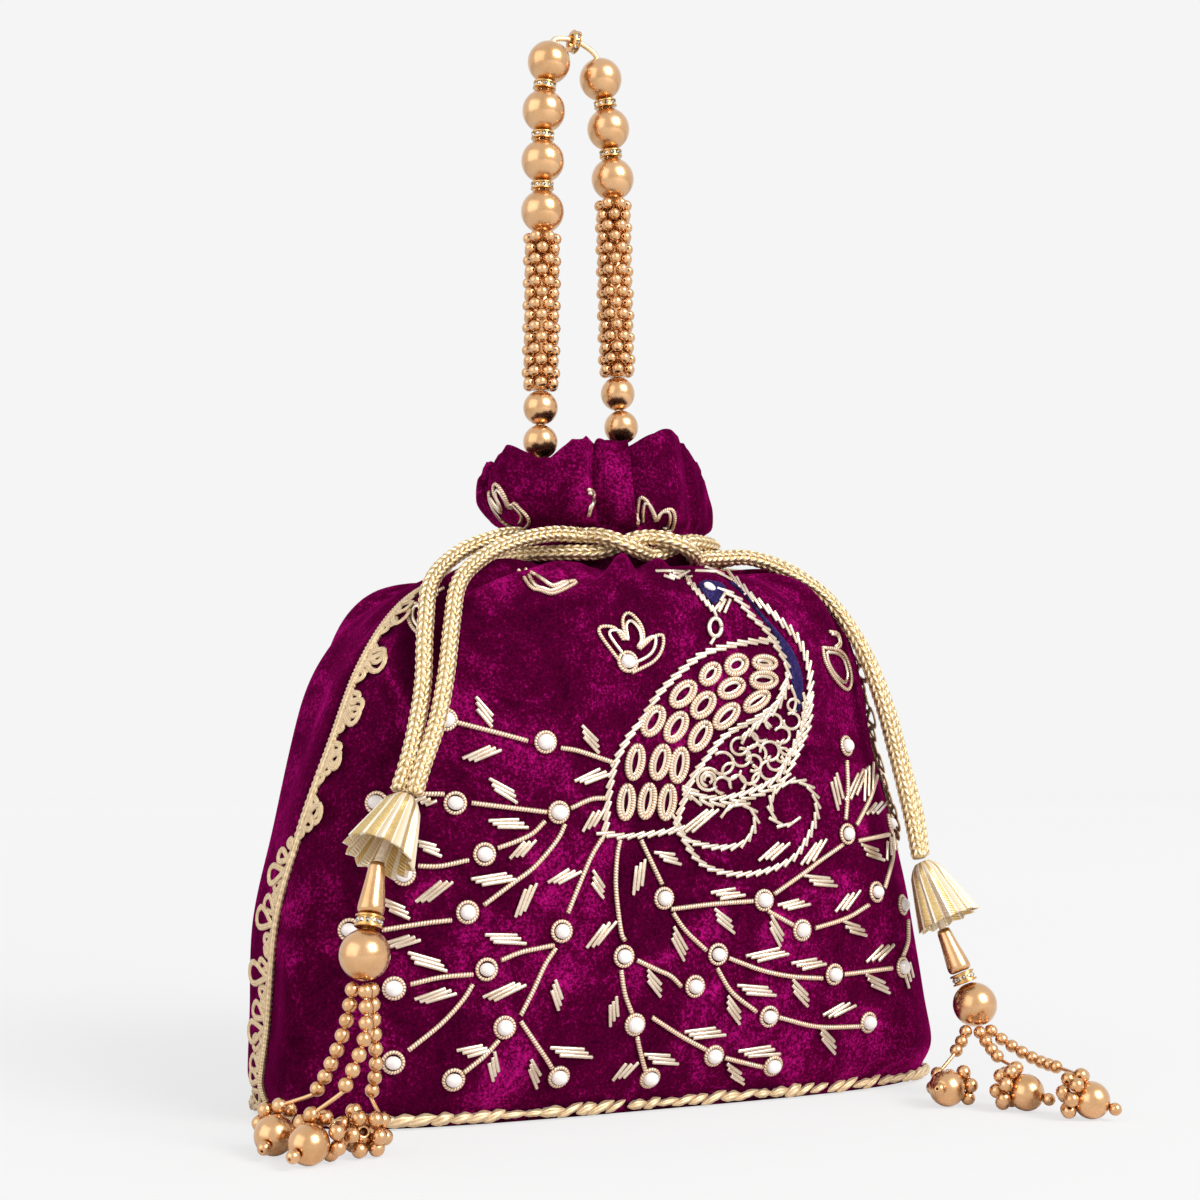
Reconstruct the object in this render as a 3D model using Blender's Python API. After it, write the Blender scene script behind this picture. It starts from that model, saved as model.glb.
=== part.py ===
import math
import bpy
import numpy as np
from mathutils import Vector
from mathutils.bvhtree import BVHTree

for old in list(bpy.data.objects):
    bpy.data.objects.remove(old, do_unlink=True)

# All sizes in metres
gap = 0.0003                 # between pieces that touch

# Velvet bag
velvet = 0.0012
base_thickness = 0.0020
body_half_width = 0.0957
front_depth = 0.0412
back_depth = 0.0436
neck_height = 0.1390
neck_half_width = 0.0275
neck_half_depth = 0.0200
ruffle_height = 0.0220
ruffle_half_width = 0.0325
ruffle_half_depth = 0.0260
hem_half_width = 0.0290
hem_half_depth = 0.0235
hem_rise = 0.0045
body_lean = 0.0034
ruffle_lean = 0.0040
fold_depth = 0.0026
lining = 0.0007
lining_slack = 0.0030

# Drawcords and tassels
cord_diameter = 0.0042
cone_length = 0.0170
cone_top_radius = 0.0036
cone_hem_radius = 0.0088
cone_wall = 0.0007
cone_ceiling = 0.0012
pleats = 12
drop_length = 0.0120
drop_radius = 0.0031
spacer_radius = 0.0033
spacer_length = 0.0028
tassel_ball = 0.0115
small_bead = 0.0037
end_ball = 0.0091
tip_bead = 0.0032
thread_radius = 0.0006

# Beaded handle
large_bead = 0.0118
medium_bead = 0.0094
rondelle_radius = 0.0032
rondelle_length = 0.0020
woven_radius = 0.0051
woven_pitch = 0.0031
woven_rows_left = 14
woven_rows_right = 16
wire_radius = 0.0008
bore_radius = wire_radius + gap + 0.0002
handle_y = 0.0030
hinge_z = neck_height + 0.0230
leg_left = (-0.0190, hinge_z + 0.0070)
leg_right = (0.0063, hinge_z + 0.0130)

# Gold edging and embroidery
edging_half_width = 0.0036
edging_thickness = 0.0008
scallop = 0.0016
pearl_radius = 0.0017
pearl_ring = 0.0031
stem_radius = 0.0007

neck_band = 2 * cord_diameter + 3 * gap

# Wall rows from the base to the hem: height, then how far the size has gone from neck to body,
# squareness of the section, lean, depth of the folds, and how far round the side seam lies
body_rows = [
    (0.000, 0.957, 0.545, 3.4, 0.0, 0.0, 2),
    (0.058, 1.000, 0.727, 3.4, 0.0, 0.0, 2),
    (0.158, 0.981, 0.864, 3.2, 0.4, 0.0, 5),
    (0.324, 0.950, 0.955, 3.0, 0.9, 0.0, 12),
    (0.504, 0.872, 0.977, 2.8, 1.0, 0.0, 18),
    (0.662, 0.789, 1.000, 2.7, 1.0, 0.1, 20),
    (0.777, 0.726, 1.000, 2.6, 0.9, 0.3, 19),
    (0.878, 0.620, 0.930, 2.5, 0.6, 0.6, 18),
    (0.945, 0.478, 0.820, 2.4, 0.3, 0.8, 16),
    (0.980, 0.300, 0.640, 2.3, 0.1, 0.7, 14),
    (0.995, 0.120, 0.350, 2.2, 0.0, 0.4, 12),
    (1.000, 0.000, 0.000, 2.0, 0.0, 0.2, 10),
]
ruffle_rows = [
    (0.00, 0.00, 0.0, 0.2),
    (0.14, 0.60, 0.4, 0.6),
    (0.42, 1.00, 0.9, 1.0),
    (0.75, 0.90, 1.0, 1.0),
    (1.00, None, 1.0, 0.9),
]
fold_valleys = [12, 52, 92, 132, 172, 241, 261, 308]

wine = ((0.115, 0.002, 0.052), 0.75, 0.0)
plum = ((0.07, 0.004, 0.035), 0.45, 0.0)
gold = ((0.72, 0.42, 0.17), 0.32, 1.0)
pale_gold = ((0.80, 0.60, 0.32), 0.38, 1.0)
lame = ((0.78, 0.56, 0.20), 0.30, 1.0)
silver_gold = ((0.86, 0.74, 0.55), 0.35, 1.0)


def make(name, shape, finish):
    verts, faces = shape
    mesh = bpy.data.meshes.new(name)
    mesh.from_pydata([tuple(v) for v in verts], [], [tuple(f) for f in faces])
    mesh.validate()
    mesh.shade_smooth()
    mesh.set_sharp_from_angle(angle=math.radians(50))
    part = bpy.data.objects.new(name, mesh)
    bpy.context.collection.objects.link(part)
    paint(part, finish)
    return part


def paint(part, finish):
    colour, roughness, metallic = finish
    material = bpy.data.materials.new(part.name)
    material.use_nodes = True
    shader = material.node_tree.nodes["Principled BSDF"]
    shader.inputs["Base Color"].default_value = (*colour, 1.0)
    shader.inputs["Roughness"].default_value = roughness
    shader.inputs["Metallic"].default_value = metallic
    part.data.materials.append(material)


def ease(values, at):
    # monotone cubic through values at 0, 1, 2 and so on
    y = np.asarray(values, float)
    step = np.diff(y)
    slope = np.zeros_like(y)
    same = step[:-1] * step[1:] > 0
    slope[1:-1][same] = 2 * step[:-1][same] * step[1:][same] / (step[:-1] + step[1:])[same]
    slope[0], slope[-1] = step[0], step[-1]
    at = np.asarray(at, float)
    i = np.clip(at.astype(int), 0, len(y) - 2)
    t = at - i
    return ((2 * t**3 - 3 * t**2 + 1) * y[i] + (t**3 - 2 * t**2 + t) * slope[i]
            + (3 * t**2 - 2 * t**3) * y[i + 1] + (t**3 - t**2) * slope[i + 1])


def row_table():
    table = []
    seat = base_thickness + gap
    for height, width, depth, square, lean, fold, seam in body_rows:
        table.append((seat + height * (neck_height - seat),
                      neck_half_width + width * (body_half_width - neck_half_width),
                      neck_half_depth + depth * (front_depth - neck_half_depth),
                      neck_half_depth + depth * (back_depth - neck_half_depth),
                      square, -lean * body_lean, fold * fold_depth, seam))
    for height, swell, lean, fold in ruffle_rows:
        if swell is None:
            half_width, half_depth = hem_half_width, hem_half_depth
        else:
            half_width = neck_half_width + swell * (ruffle_half_width - neck_half_width)
            half_depth = neck_half_depth + swell * (ruffle_half_depth - neck_half_depth)
        table.append((neck_height + neck_band + height * ruffle_height, half_width, half_depth,
                      half_depth, 2.0, -lean * ruffle_lean, fold * fold_depth, 10))
    return np.array(table).T


rows = row_table()
row_count = rows.shape[1]
neck_row = len(body_rows)


def lobe(angle):
    # 0 in each valley between two folds and 1 on the fold's crest
    valleys = np.array(fold_valleys + [fold_valleys[0] + 360], float)
    a = (np.asarray(angle, float) - valleys[0]) % 360 + valleys[0]
    i = np.clip(np.searchsorted(valleys, a, side="right") - 1, 0, len(valleys) - 2)
    t = (a - valleys[i]) / (valleys[i + 1] - valleys[i])
    narrow = np.clip((valleys[i + 1] - valleys[i]) / 40, 0, 1)
    return narrow * (1 - np.cos(2 * np.pi * t)) / 2


def wall(row, angle):
    # a superellipse section at each row, pushed out by the folds
    z, half_width, front, back, square, lean, fold, _ = [ease(column, row) for column in rows]
    c, s = np.cos(np.radians(angle)), np.sin(np.radians(angle))
    reach = (np.abs(c)**square + np.abs(s)**square)**(-1 / square)
    depth = np.where(s < 0, front, back)
    flat = np.hypot(c / half_width, s / depth)
    push = fold * (lobe(angle) - 0.5)
    x = lean + half_width * c * reach + push * c / half_width / flat
    y = depth * s * reach + push * s / depth / flat
    above = np.clip((row - neck_row - 1) / (row_count - neck_row - 2), 0, 1)
    z = z + above * hem_rise * (lobe(angle) - 0.4 + 0.3 * np.cos(np.radians(angle - 300)))
    return np.stack(np.broadcast_arrays(x, y, z), -1)


def outward(row, angle):
    along = wall(row, angle + 0.5) - wall(row, angle - 0.5)
    upward = wall(np.minimum(row + 0.02, row_count - 1), angle) - wall(np.maximum(row - 0.02, 0), angle)
    normal = np.cross(along, upward)
    return normal / np.linalg.norm(normal, axis=-1, keepdims=True)


def seam_turn(row):
    return ease(rows[7], row)


def spread(start, stop, count):
    return list(np.linspace(start, stop, count, endpoint=False))


front_columns = np.array(spread(190, 241, 7) + spread(241, 261, 4) + spread(261, 308, 7)
                         + spread(308, 350, 4) + [350])
back_columns = np.array(spread(-10, 12, 2) + spread(12, 52, 4) + spread(52, 92, 4)
                        + spread(92, 132, 4) + spread(132, 172, 4) + spread(172, 190, 2) + [190])


def panel_grid(columns, sign):
    # the seam gap is one clearance wide, so each panel stops half of it short of the seam
    row = np.arange(row_count, dtype=float)[:, None]
    turn = seam_turn(row)
    start, stop = columns[0], columns[-1]
    share = (columns[None] - start) / (stop - start)
    middle = (start + stop) / 2
    half = 90 - sign * turn - np.degrees(gap / 2 / rows[1][:, None])
    return row + 0 * share, middle - half + 2 * half * share


def shell(outer, inner, wrap=False, floor=False):
    count, width = outer.shape[:2]
    verts = np.concatenate([outer.reshape(-1, 3), inner.reshape(-1, 3)])
    o = np.arange(count * width).reshape(count, width)
    i = o + count * width
    faces = []
    for c in range(width if wrap else width - 1):
        d = (c + 1) % width
        for r in range(count - 1):
            faces.append((o[r, c], o[r, d], o[r + 1, d], o[r + 1, c]))
            faces.append((i[r, c], i[r + 1, c], i[r + 1, d], i[r, d]))
        faces.append((o[-1, c], o[-1, d], i[-1, d], i[-1, c]))
        if not floor:
            faces.append((o[0, d], o[0, c], i[0, c], i[0, d]))
    if not wrap:
        for r in range(count - 1):
            faces.append((o[r, 0], o[r + 1, 0], i[r + 1, 0], i[r, 0]))
            faces.append((o[r + 1, -1], o[r, -1], i[r, -1], i[r + 1, -1]))
    if floor:
        faces.append(tuple(o[0, ::-1]))
        faces.append(tuple(i[0]))
    return verts, faces


def join(shapes):
    verts, faces, start = [], [], 0
    for v, f in shapes:
        verts.append(np.asarray(v))
        faces += [tuple(int(k) + start for k in face) for face in f]
        start += len(v)
    return np.concatenate(verts), faces


def lathe(profile, sides, centre=(0, 0, 0), axis=(0, 0, 1), bored=False):
    # the profile's radius and height run up the outer side; a bored one returns down its bore
    turn = Vector((0, 0, 1)).rotation_difference(Vector(axis).normalized()).to_matrix()
    angle = np.arange(sides) * 2 * np.pi / sides
    ring = np.stack([np.cos(angle), np.sin(angle), 0 * angle], -1)
    pts = np.array([[r * ring[k] + np.array([0, 0, z]) for k in range(sides)] for r, z in profile])
    verts = pts.reshape(-1, 3) @ np.array(turn).T + np.array(centre)
    n = len(profile)
    faces = []
    for r in range(n if bored else n - 1):
        for k in range(sides):
            m = (k + 1) % sides
            below, top = r * sides, (r + 1) % n * sides
            faces.append((below + k, below + m, top + m, top + k))
    if not bored:
        faces.append(tuple(range(sides))[::-1])
        faces.append(tuple(range((n - 1) * sides, n * sides)))
    return verts, faces


def frames(points):
    # tangents and two normals carried along a path without twist
    p = np.asarray(points, float)
    tangent = np.gradient(p, axis=0)
    tangent[0], tangent[-1] = p[1] - p[0], p[-1] - p[-2]
    tangent /= np.linalg.norm(tangent, axis=1, keepdims=True)
    side = np.cross(tangent[0], (0, 0, 1) if abs(tangent[0][2]) < 0.9 else (1, 0, 0))
    sides = []
    for t in tangent:
        side = side - t * (side @ t)
        side = side / np.linalg.norm(side)
        sides.append(side)
    sides = np.array(sides)
    return p, tangent, sides, np.cross(tangent, sides)


def sweep(points, radii, sides):
    p, _, u, w = frames(points)
    angle = np.arange(sides) * 2 * np.pi / sides
    radii = np.broadcast_to(radii, len(p))[:, None, None]
    ring = u[:, None] * np.cos(angle)[None, :, None] + w[:, None] * np.sin(angle)[None, :, None]
    verts = (p[:, None] + radii * ring).reshape(-1, 3)
    faces = []
    for r in range(len(p) - 1):
        for k in range(sides):
            m = (k + 1) % sides
            faces.append((r * sides + k, r * sides + m, (r + 1) * sides + m, (r + 1) * sides + k))
    faces.append(tuple(range(sides))[::-1])
    faces.append(tuple(range((len(p) - 1) * sides, len(p) * sides)))
    return verts, faces


def smooth_route(route, spacing):
    # a smooth curve through the route's points, read at even steps
    p = np.asarray(route, float)
    ends = np.concatenate([[2 * p[0] - p[1]], p, [2 * p[-1] - p[-2]]])
    fine = []
    for i in range(len(p) - 1):
        a, b, c, d = ends[i:i + 4]
        t = np.linspace(0, 1, 24, endpoint=False)[:, None]
        fine.append(0.5 * (2 * b + (c - a) * t + (2 * a - 5 * b + 4 * c - d) * t**2
                           + (3 * b - a - 3 * c + d) * t**3))
    fine = np.concatenate(fine + [p[-1:]])
    run = np.concatenate([[0], np.cumsum(np.linalg.norm(np.diff(fine, axis=0), axis=1))])
    count = max(2, round(run[-1] / spacing) + 1)
    at = np.linspace(0, run[-1], count)
    return np.stack([np.interp(at, run, fine[:, k]) for k in range(3)], -1)


def ball_profile(radius, steps, bore=0.0):
    # outer arc from one bore edge, or near a pole, to the other
    low = math.asin(max(bore, 0.12 * radius) / radius)
    return [(radius * math.sin(a), -radius * math.cos(a))
            for a in np.linspace(low, math.pi - low, steps)]


# Base, velvet panels and lining
base_corners = 36
base_edge = wall(0.0, np.arange(base_corners) * 360 / base_corners) * (1, 1, 0)
inset = 1 - velvet / body_half_width
base_rings = [base_edge * inset**2, base_edge * inset + (0, 0, base_thickness / 2),
              base_edge * inset + (0, 0, base_thickness)]
base_faces = [tuple(range(base_corners))[::-1], tuple(range(2 * base_corners, 3 * base_corners))]
for low in (0, base_corners):
    for k in range(base_corners):
        m = (k + 1) % base_corners
        base_faces.append((low + k, low + m, low + base_corners + m, low + base_corners + k))
make("base_panel", (np.concatenate(base_rings), base_faces), wine)

for name, columns, sign in (("front_panel", front_columns, 1), ("back_panel", back_columns, -1)):
    row, angle = panel_grid(columns, sign)
    face = wall(row, angle)
    panel = make(name, shell(face, face - velvet * outward(row, angle)), wine)
    if sign == 1:
        front = BVHTree.FromObject(panel, bpy.context.evaluated_depsgraph_get())

lining_row = np.array([0.0, 1, 3, 5, 7, 8.5, 9.6, 10.4, 11.0, 12.0, 13.0])[:, None]
lining_angle = np.arange(0, 360, 20.0)[None] + 0 * lining_row
slack = np.where(lining_row < neck_row - 1, lining_slack, velvet + 3 * gap)
lining_out = wall(lining_row, lining_angle) - slack[..., None] * outward(lining_row, lining_angle)
lining_out[0, :, 2] = base_thickness + gap
lining_in = lining_out - lining * outward(lining_row, lining_angle)
lining_in[0] = lining_out[0] * (0.985, 0.97, 1) + (0, 0, lining)
make("lining", shell(lining_out, lining_in, wrap=True, floor=True), plum)


# Gold edging over the two side seams and round the base
def side_edging(name, left):
    row = np.linspace(0.9, 8.4, 33)
    turn = seam_turn(row)
    angle = 180 + turn if left else 360 - turn
    centre, normal = wall(row, angle), outward(row, angle)
    run = np.gradient(centre, axis=0)
    sideways = np.cross(normal, run)
    sideways /= np.linalg.norm(sideways, axis=1, keepdims=True)
    wave = edging_half_width + scallop * (np.arange(len(row)) % 2 - 0.5)
    low = centre + normal * 2 * gap
    high = low + normal * edging_thickness
    section = [low - sideways * wave[:, None], low + sideways * wave[:, None],
               high + sideways * wave[:, None], high - sideways * wave[:, None]]
    verts = np.stack(section, 1).reshape(-1, 3)
    faces = [(3, 2, 1, 0), tuple(4 * (len(row) - 1) + k for k in range(4))]
    for r in range(len(row) - 1):
        for k in range(4):
            m = (k + 1) % 4
            faces.append((4 * r + k, 4 * r + m, 4 * r + 4 + m, 4 * r + 4 + k))
    make(name, (verts, faces), pale_gold)


side_edging("side_edging_left", True)
side_edging("side_edging_right", False)

edge_angle = np.arange(0, 360, 9.0)
edge_row = np.stack([0 * edge_angle, 0 * edge_angle + 0.25])
edge_wall = wall(edge_row, edge_angle[None])
edge_out = outward(edge_row, edge_angle[None]) * (1, 1, 0)
edge_wave = (edging_thickness + scallop * (np.arange(len(edge_angle)) % 2))[None, :, None]
edge_in = edge_wall + edge_out * 2 * gap
edge_drop = np.array([[[0, 0, -0.6 * base_thickness]], [[0, 0, 0.2 * base_thickness]]])
make("base_edging", shell(edge_in + edge_out * edge_wave + edge_drop, edge_in + edge_drop, wrap=True),
     pale_gold)


# Drawcords: the drawn ring of each round the neck, and its two free ends
ring_offset = cord_diameter / 2 + 3 * gap
ring_half_width = neck_half_width + ring_offset
ring_half_depth = neck_half_depth + ring_offset
lower_cord_z = neck_height + gap + cord_diameter / 2
upper_cord_z = lower_cord_z + cord_diameter + gap


def neck_ring(name, z, start, stop):
    a = np.radians(np.linspace(start, stop, 31))
    path = np.stack([ring_half_width * np.cos(a), ring_half_depth * np.sin(a), z + 0 * a], -1)
    make(name, sweep(path, cord_diameter / 2, 6), lame)


neck_ring("neck_cord_left", upper_cord_z, 236, 548)
neck_ring("neck_cord_right", lower_cord_z, -8, 304)


def cord(name, route):
    points = smooth_route(route, 2.4 * cord_diameter)
    curve = bpy.data.curves.new(name, "CURVE")
    curve.dimensions = "3D"
    curve.bevel_depth = cord_diameter / 2
    curve.bevel_resolution = 2
    curve.use_fill_caps = True
    line = curve.splines.new("POLY")
    line.points.add(len(points) - 1)
    for point, place in zip(line.points, points):
        point.co = (*place, 1.0)
    part = bpy.data.objects.new(name, curve)
    bpy.context.collection.objects.link(part)
    paint(part, lame)


mm = 0.001
cord_routes = {
    "drawcord_left_front": [(-18.2, -18.6, 146.0), (-25.5, -17.4, 146.0), (-36.0, -18.5, 143.4),
                            (-46.5, -21.0, 138.5), (-55.0, -26.0, 131.5), (-59.5, -32.0, 121.0),
                            (-63.5, -38.0, 108.0), (-68.0, -43.0, 96.0), (-73.0, -46.5, 86.0),
                            (-76.0, -49.0, 79.6)],
    "drawcord_left_side": [(-30.1, -4.8, 146.0), (-31.2, -9.5, 146.2), (-38.5, -13.6, 145.0),
                           (-50.5, -16.5, 140.2), (-60.8, -22.3, 131.9), (-65.4, -29.4, 120.2),
                           (-68.2, -35.0, 106.0), (-72.0, -40.0, 95.0), (-75.5, -43.5, 86.5),
                           (-78.3, -45.2, 80.2)],
    "drawcord_right_front": [(17.9, -18.9, 141.6), (24.5, -17.6, 142.2), (34.0, -18.4, 142.6),
                             (44.0, -20.0, 139.5), (54.5, -24.0, 132.5), (62.0, -29.0, 120.0),
                             (66.5, -32.5, 105.0), (70.5, -34.5, 88.0), (72.8, -37.5, 72.0),
                             (73.0, -40.5, 61.6)],
    "drawcord_right_side": [(30.1, -4.6, 141.7), (31.4, -9.2, 142.6), (38.0, -13.0, 143.2),
                            (49.0, -16.0, 139.5), (59.0, -19.5, 131.5), (66.5, -24.5, 118.5),
                            (71.0, -28.5, 104.0), (74.5, -31.0, 88.0), (76.6, -34.5, 73.0),
                            (76.2, -37.4, 62.2)],
}
for name, route in cord_routes.items():
    cord(name, np.array(route) * mm)


# Tassels
def pleated_cone(name, top, direction):
    corner = np.arange(2 * pleats)
    angle = corner * np.pi / pleats
    deep = np.where(corner % 2 == 0, 1.0, 0.84)
    reach = [cone_top_radius, cone_top_radius * 1.25, cone_hem_radius]
    level = [0.0, -0.12 * cone_length, -cone_length]
    turn = np.array(Vector((0, 0, -1)).rotation_difference(Vector(direction).normalized()).to_matrix())
    outer = np.stack([np.stack([r * deep * np.cos(angle), r * deep * np.sin(angle), z + 0 * angle], -1)
                      for r, z in zip(reach, level)])
    inner = outer * (1 - cone_wall / cone_hem_radius * 1.6, 1 - cone_wall / cone_hem_radius * 1.6, 1)
    inner[0, :, 2] = -cone_ceiling
    inner[0, :, :2] *= 0.8
    inner[-1, :, 2] = outer[-1, :, 2]
    # rows run from the hem up, and the top ring is then closed inside and out
    verts, faces = shell(outer[::-1], inner[::-1], wrap=True)
    width = len(corner)
    last_out, last_in = 2 * width, 5 * width
    faces = [f for f in faces if not (last_out <= min(f) < last_out + width and max(f) >= last_in)]
    faces.append(tuple(range(last_out, last_out + width)))
    faces.append(tuple(range(last_in, last_in + width))[::-1])
    make(name, (verts @ turn.T + np.array(top), faces), lame)


def drop_bead(name, top, bottom, cone_top, cone_way):
    top, bottom, cone_top = np.array(top), np.array(bottom), np.array(cone_top)
    way = (bottom - top) / np.linalg.norm(bottom - top)
    ceiling = cone_top + np.array(cone_way) / np.linalg.norm(cone_way) * (cone_ceiling + gap)
    path = [ceiling, top - way * 0.0005, top + way * 0.0005]
    radii = [thread_radius, thread_radius, 0.0011]
    for share, radius in ((0.35, 0.62), (0.72, 0.95), (0.9, 1.0), (1.0, 0.72)):
        path.append(top + way * (share * drop_length))
        radii.append(radius * drop_radius)
    make(name, sweep(path, radii, 10), gold)
    return path[-1], way


def tassel(side, cone_top, cone_way, drop_top, drop_way, strands, ends):
    cone_top, drop_top = np.array(cone_top) * mm, np.array(drop_top) * mm
    way = np.array(drop_way, float) / np.linalg.norm(drop_way)
    pleated_cone(f"tassel_cone_{side}", cone_top, cone_way)
    below, _ = drop_bead(f"drop_bead_{side}", drop_top, drop_top + way, cone_top, cone_way)
    spacer = [(0.5 * spacer_radius, 0), (0.9 * spacer_radius, 0.0002), (spacer_radius, 0.0008),
              (0.8 * spacer_radius, spacer_length / 2), (spacer_radius, spacer_length - 0.0008),
              (0.9 * spacer_radius, spacer_length - 0.0002), (0.5 * spacer_radius, spacer_length)]
    seat = below + way * gap
    make(f"tassel_spacer_{side}", lathe(spacer, 12, seat, way), silver_gold)
    polar = tassel_ball / 2 * math.cos(math.asin(0.12))
    centre = seat + way * (spacer_length + gap + polar)
    make(f"tassel_ball_{side}", lathe(ball_profile(tassel_ball / 2, 6), 10, centre, way), gold)
    for number, (route, (place, nose, petals)) in enumerate(zip(strands, ends), 1):
        hub = np.array(place) * mm
        nose = np.array(nose, float) / np.linalg.norm(nose)
        path = np.array(route) * mm
        start = path[0] - centre
        path[0] = centre + start / np.linalg.norm(start) * (tassel_ball / 2 + 2 * gap)
        count = round(np.linalg.norm(np.diff(path, axis=0), axis=1).sum() / small_bead)
        line = smooth_route(path, small_bead / 2)[:2 * count + 1]
        line = np.concatenate([line, bead_collar(hub, nose, line[-1], petals)])
        swell = np.where(np.arange(len(line)) % 2 == 1, small_bead / 2, thread_radius)
        make(f"bead_strand_{side}_{number}", sweep(line, swell, 6), gold)
        r, t = end_ball / 2, tip_bead / 2
        profile = ball_profile(r, 6)[:-1] + [(0.28 * r, 0.96 * r), (t * 0.95, r + 0.75 * t),
                                             (t * 0.9, r + 1.25 * t), (t * 0.3, r + 1.9 * t)]
        make(f"end_ball_{side}_{number}", lathe(profile, 8, hub, nose), gold)


def bead_collar(hub, nose, start, petals):
    # the strand goes on as a flower of beads round the back of the end ball, none below the floor
    u = start - hub
    u -= nose * (u @ nose)
    u /= np.linalg.norm(u)
    w = np.cross(nose, u)
    reach = end_ball / 2 + small_bead / 2
    lowest = small_bead / 2 + gap
    turn = 2 * math.asin(small_bead / 2 / (0.785 * reach))
    places = []
    for k in range(2 * petals - 1):
        a = (k + 1) * turn / 2
        away = -0.62 * nose + 0.785 * (u * math.cos(a) + w * math.sin(a))
        place = hub + away * reach
        if place[2] < lowest:
            flat = away * (1, 1, 0)
            place = hub + flat / np.linalg.norm(flat) * math.sqrt(reach**2 - (hub[2] - lowest)**2)
            place[2] = lowest
        places.append(place)
    return np.array(places)


tassel("left", (-77.2, -47.3, 78.7), (-10.0, -6.6, -14.2), (-86.6, -53.6, 64.5), (-3.0, -3.0, -13.0),
       [[(-93.3, -57.4, 38.7), (-95.0, -57.4, 30.1), (-96.7, -56.4, 24.0), (-98.8, -53.5, 17.2),
         (-101.0, -50.6, 12.5)],
        [(-91.7, -60.0, 38.2), (-92.4, -62.6, 29.3), (-94.0, -63.0, 23.6), (-97.5, -62.0, 15.5)],
        [(-89.6, -58.3, 38.7), (-88.0, -56.7, 25.8), (-87.2, -55.4, 19.1), (-87.2, -52.5, 12.5)]],
       [((-107.5, -46.4, 4.8), (-0.6, -0.7, -0.3), 4), ((-104.4, -60.5, 4.8), (-0.7, -0.5, -0.25), 3),
        ((-90.0, -52.6, 4.8), (0.1, 0.9, -0.2), 4)])
tassel("right", (74.6, -39.5, 60.4), (3.3, -6.2, -13.8), (76.6, -45.4, 43.2), (2.6, -3.6, -10.2),
       [[(78.4, -53.2, 18.6), (75.0, -54.8, 15.0), (71.2, -56.4, 12.0)],
        [(80.5, -54.3, 18.3), (80.0, -60.2, 13.8), (79.2, -65.2, 11.4)],
        [(83.0, -54.5, 18.7), (85.8, -60.2, 14.4), (87.6, -69.6, 11.2), (86.5, -79.5, 10.6)]],
       [((64.6, -62.1, 4.8), (-0.75, -0.5, 0.1), 5), ((78.0, -76.7, 4.8), (0.5, -0.8, -0.2), 5),
        ((84.6, -93.2, 4.8), (0.6, -0.7, -0.3), 6)])


# Beaded handle: each leg is stacked from its lowest bead up, each piece leaning a little
def stack(leg_start, pieces):
    place = np.array([leg_start[0], handle_y, leg_start[1]])
    nodes, seats = [place.copy()], []
    for name, kind, length, lean in pieces:
        way = np.array([math.sin(math.radians(lean)), 0, math.cos(math.radians(lean))])
        seats.append((name, kind, length, place + way * length / 2, way))
        place = place + way * (length + gap)
        nodes.append(place - way * gap / 2)
    return nodes, seats, way


def chord(diameter):
    return 2 * math.sqrt((diameter / 2)**2 - bore_radius**2)


def leg_pieces(side, tube_rows, leans):
    first_large = 1 if side == "left" else 5
    count = 4 if side == "left" else 3
    pieces = [(f"medium_bead_{side}_{k}", "medium", chord(medium_bead), leans[k - 1]) for k in (1, 2)]
    pieces.append((f"woven_tube_{side}", "woven", tube_rows * woven_pitch, leans[2]))
    for k in range(count):
        lean = leans[3 + k]
        pieces.append((f"large_bead_{first_large + k}", "large", chord(large_bead), lean))
        if k < count - 1:
            turned = (lean + leans[4 + k]) / 2
            pieces.append((f"rondelle_{side}_{k + 1}", "rondelle", rondelle_length, turned))
    return pieces


def handle_piece(name, kind, length, centre, way):
    if kind == "woven":
        count = round(length / woven_pitch)
        step = length / count
        profile = []
        for k in range(count):
            low = -length / 2 + k * step
            profile += [(0.86 * woven_radius, low), (woven_radius, low + step / 2)]
        profile.append((0.86 * woven_radius, length / 2))
        make(name, lathe(profile + [(bore_radius, length / 2), (bore_radius, -length / 2)],
                         9, centre, way, bored=True), gold)
        return
    if kind == "rondelle":
        r, h = rondelle_radius, length / 2
        profile = [(0.8 * r, -h), (r, -0.6 * h), (r, 0.6 * h), (0.8 * r, h),
                   (bore_radius, h), (bore_radius, -h)]
        finish = silver_gold
    else:
        profile = ball_profile((large_bead if kind == "large" else medium_bead) / 2, 6, bore_radius)
        finish = gold
    make(name, lathe(profile, 9, centre, way, bored=True), finish)


left_nodes, left_seats, left_way = stack(
    leg_left, leg_pieces("left", woven_rows_left, [0, 0.3, 0.5, 0, 0.3, 2, 11]))
right_nodes, right_seats, right_way = stack(
    leg_right, leg_pieces("right", woven_rows_right, [-7, -6, -0.8, -4, -7, -13]))
for seat in left_seats + right_seats:
    handle_piece(*seat)

# the wire arches over between the two top beads, through the last rondelle
left_top, right_top = left_nodes[-1], right_nodes[-1]
crown = (left_top + right_top) / 2 + (left_way + right_way) * 0.0013
arch_way = (right_top - left_top) / np.linalg.norm(right_top - left_top)
half_rondelle = arch_way * (rondelle_length / 2 + gap)
handle_piece("rondelle_top", "rondelle", rondelle_length, crown, arch_way)
arch = [left_top + left_way * 0.0008, crown - half_rondelle * 2.4 - (0, 0, 0.0004), crown - half_rondelle,
        crown + half_rondelle, crown + half_rondelle * 2.4 - (0, 0, 0.0004), right_top + right_way * 0.0008]

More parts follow.
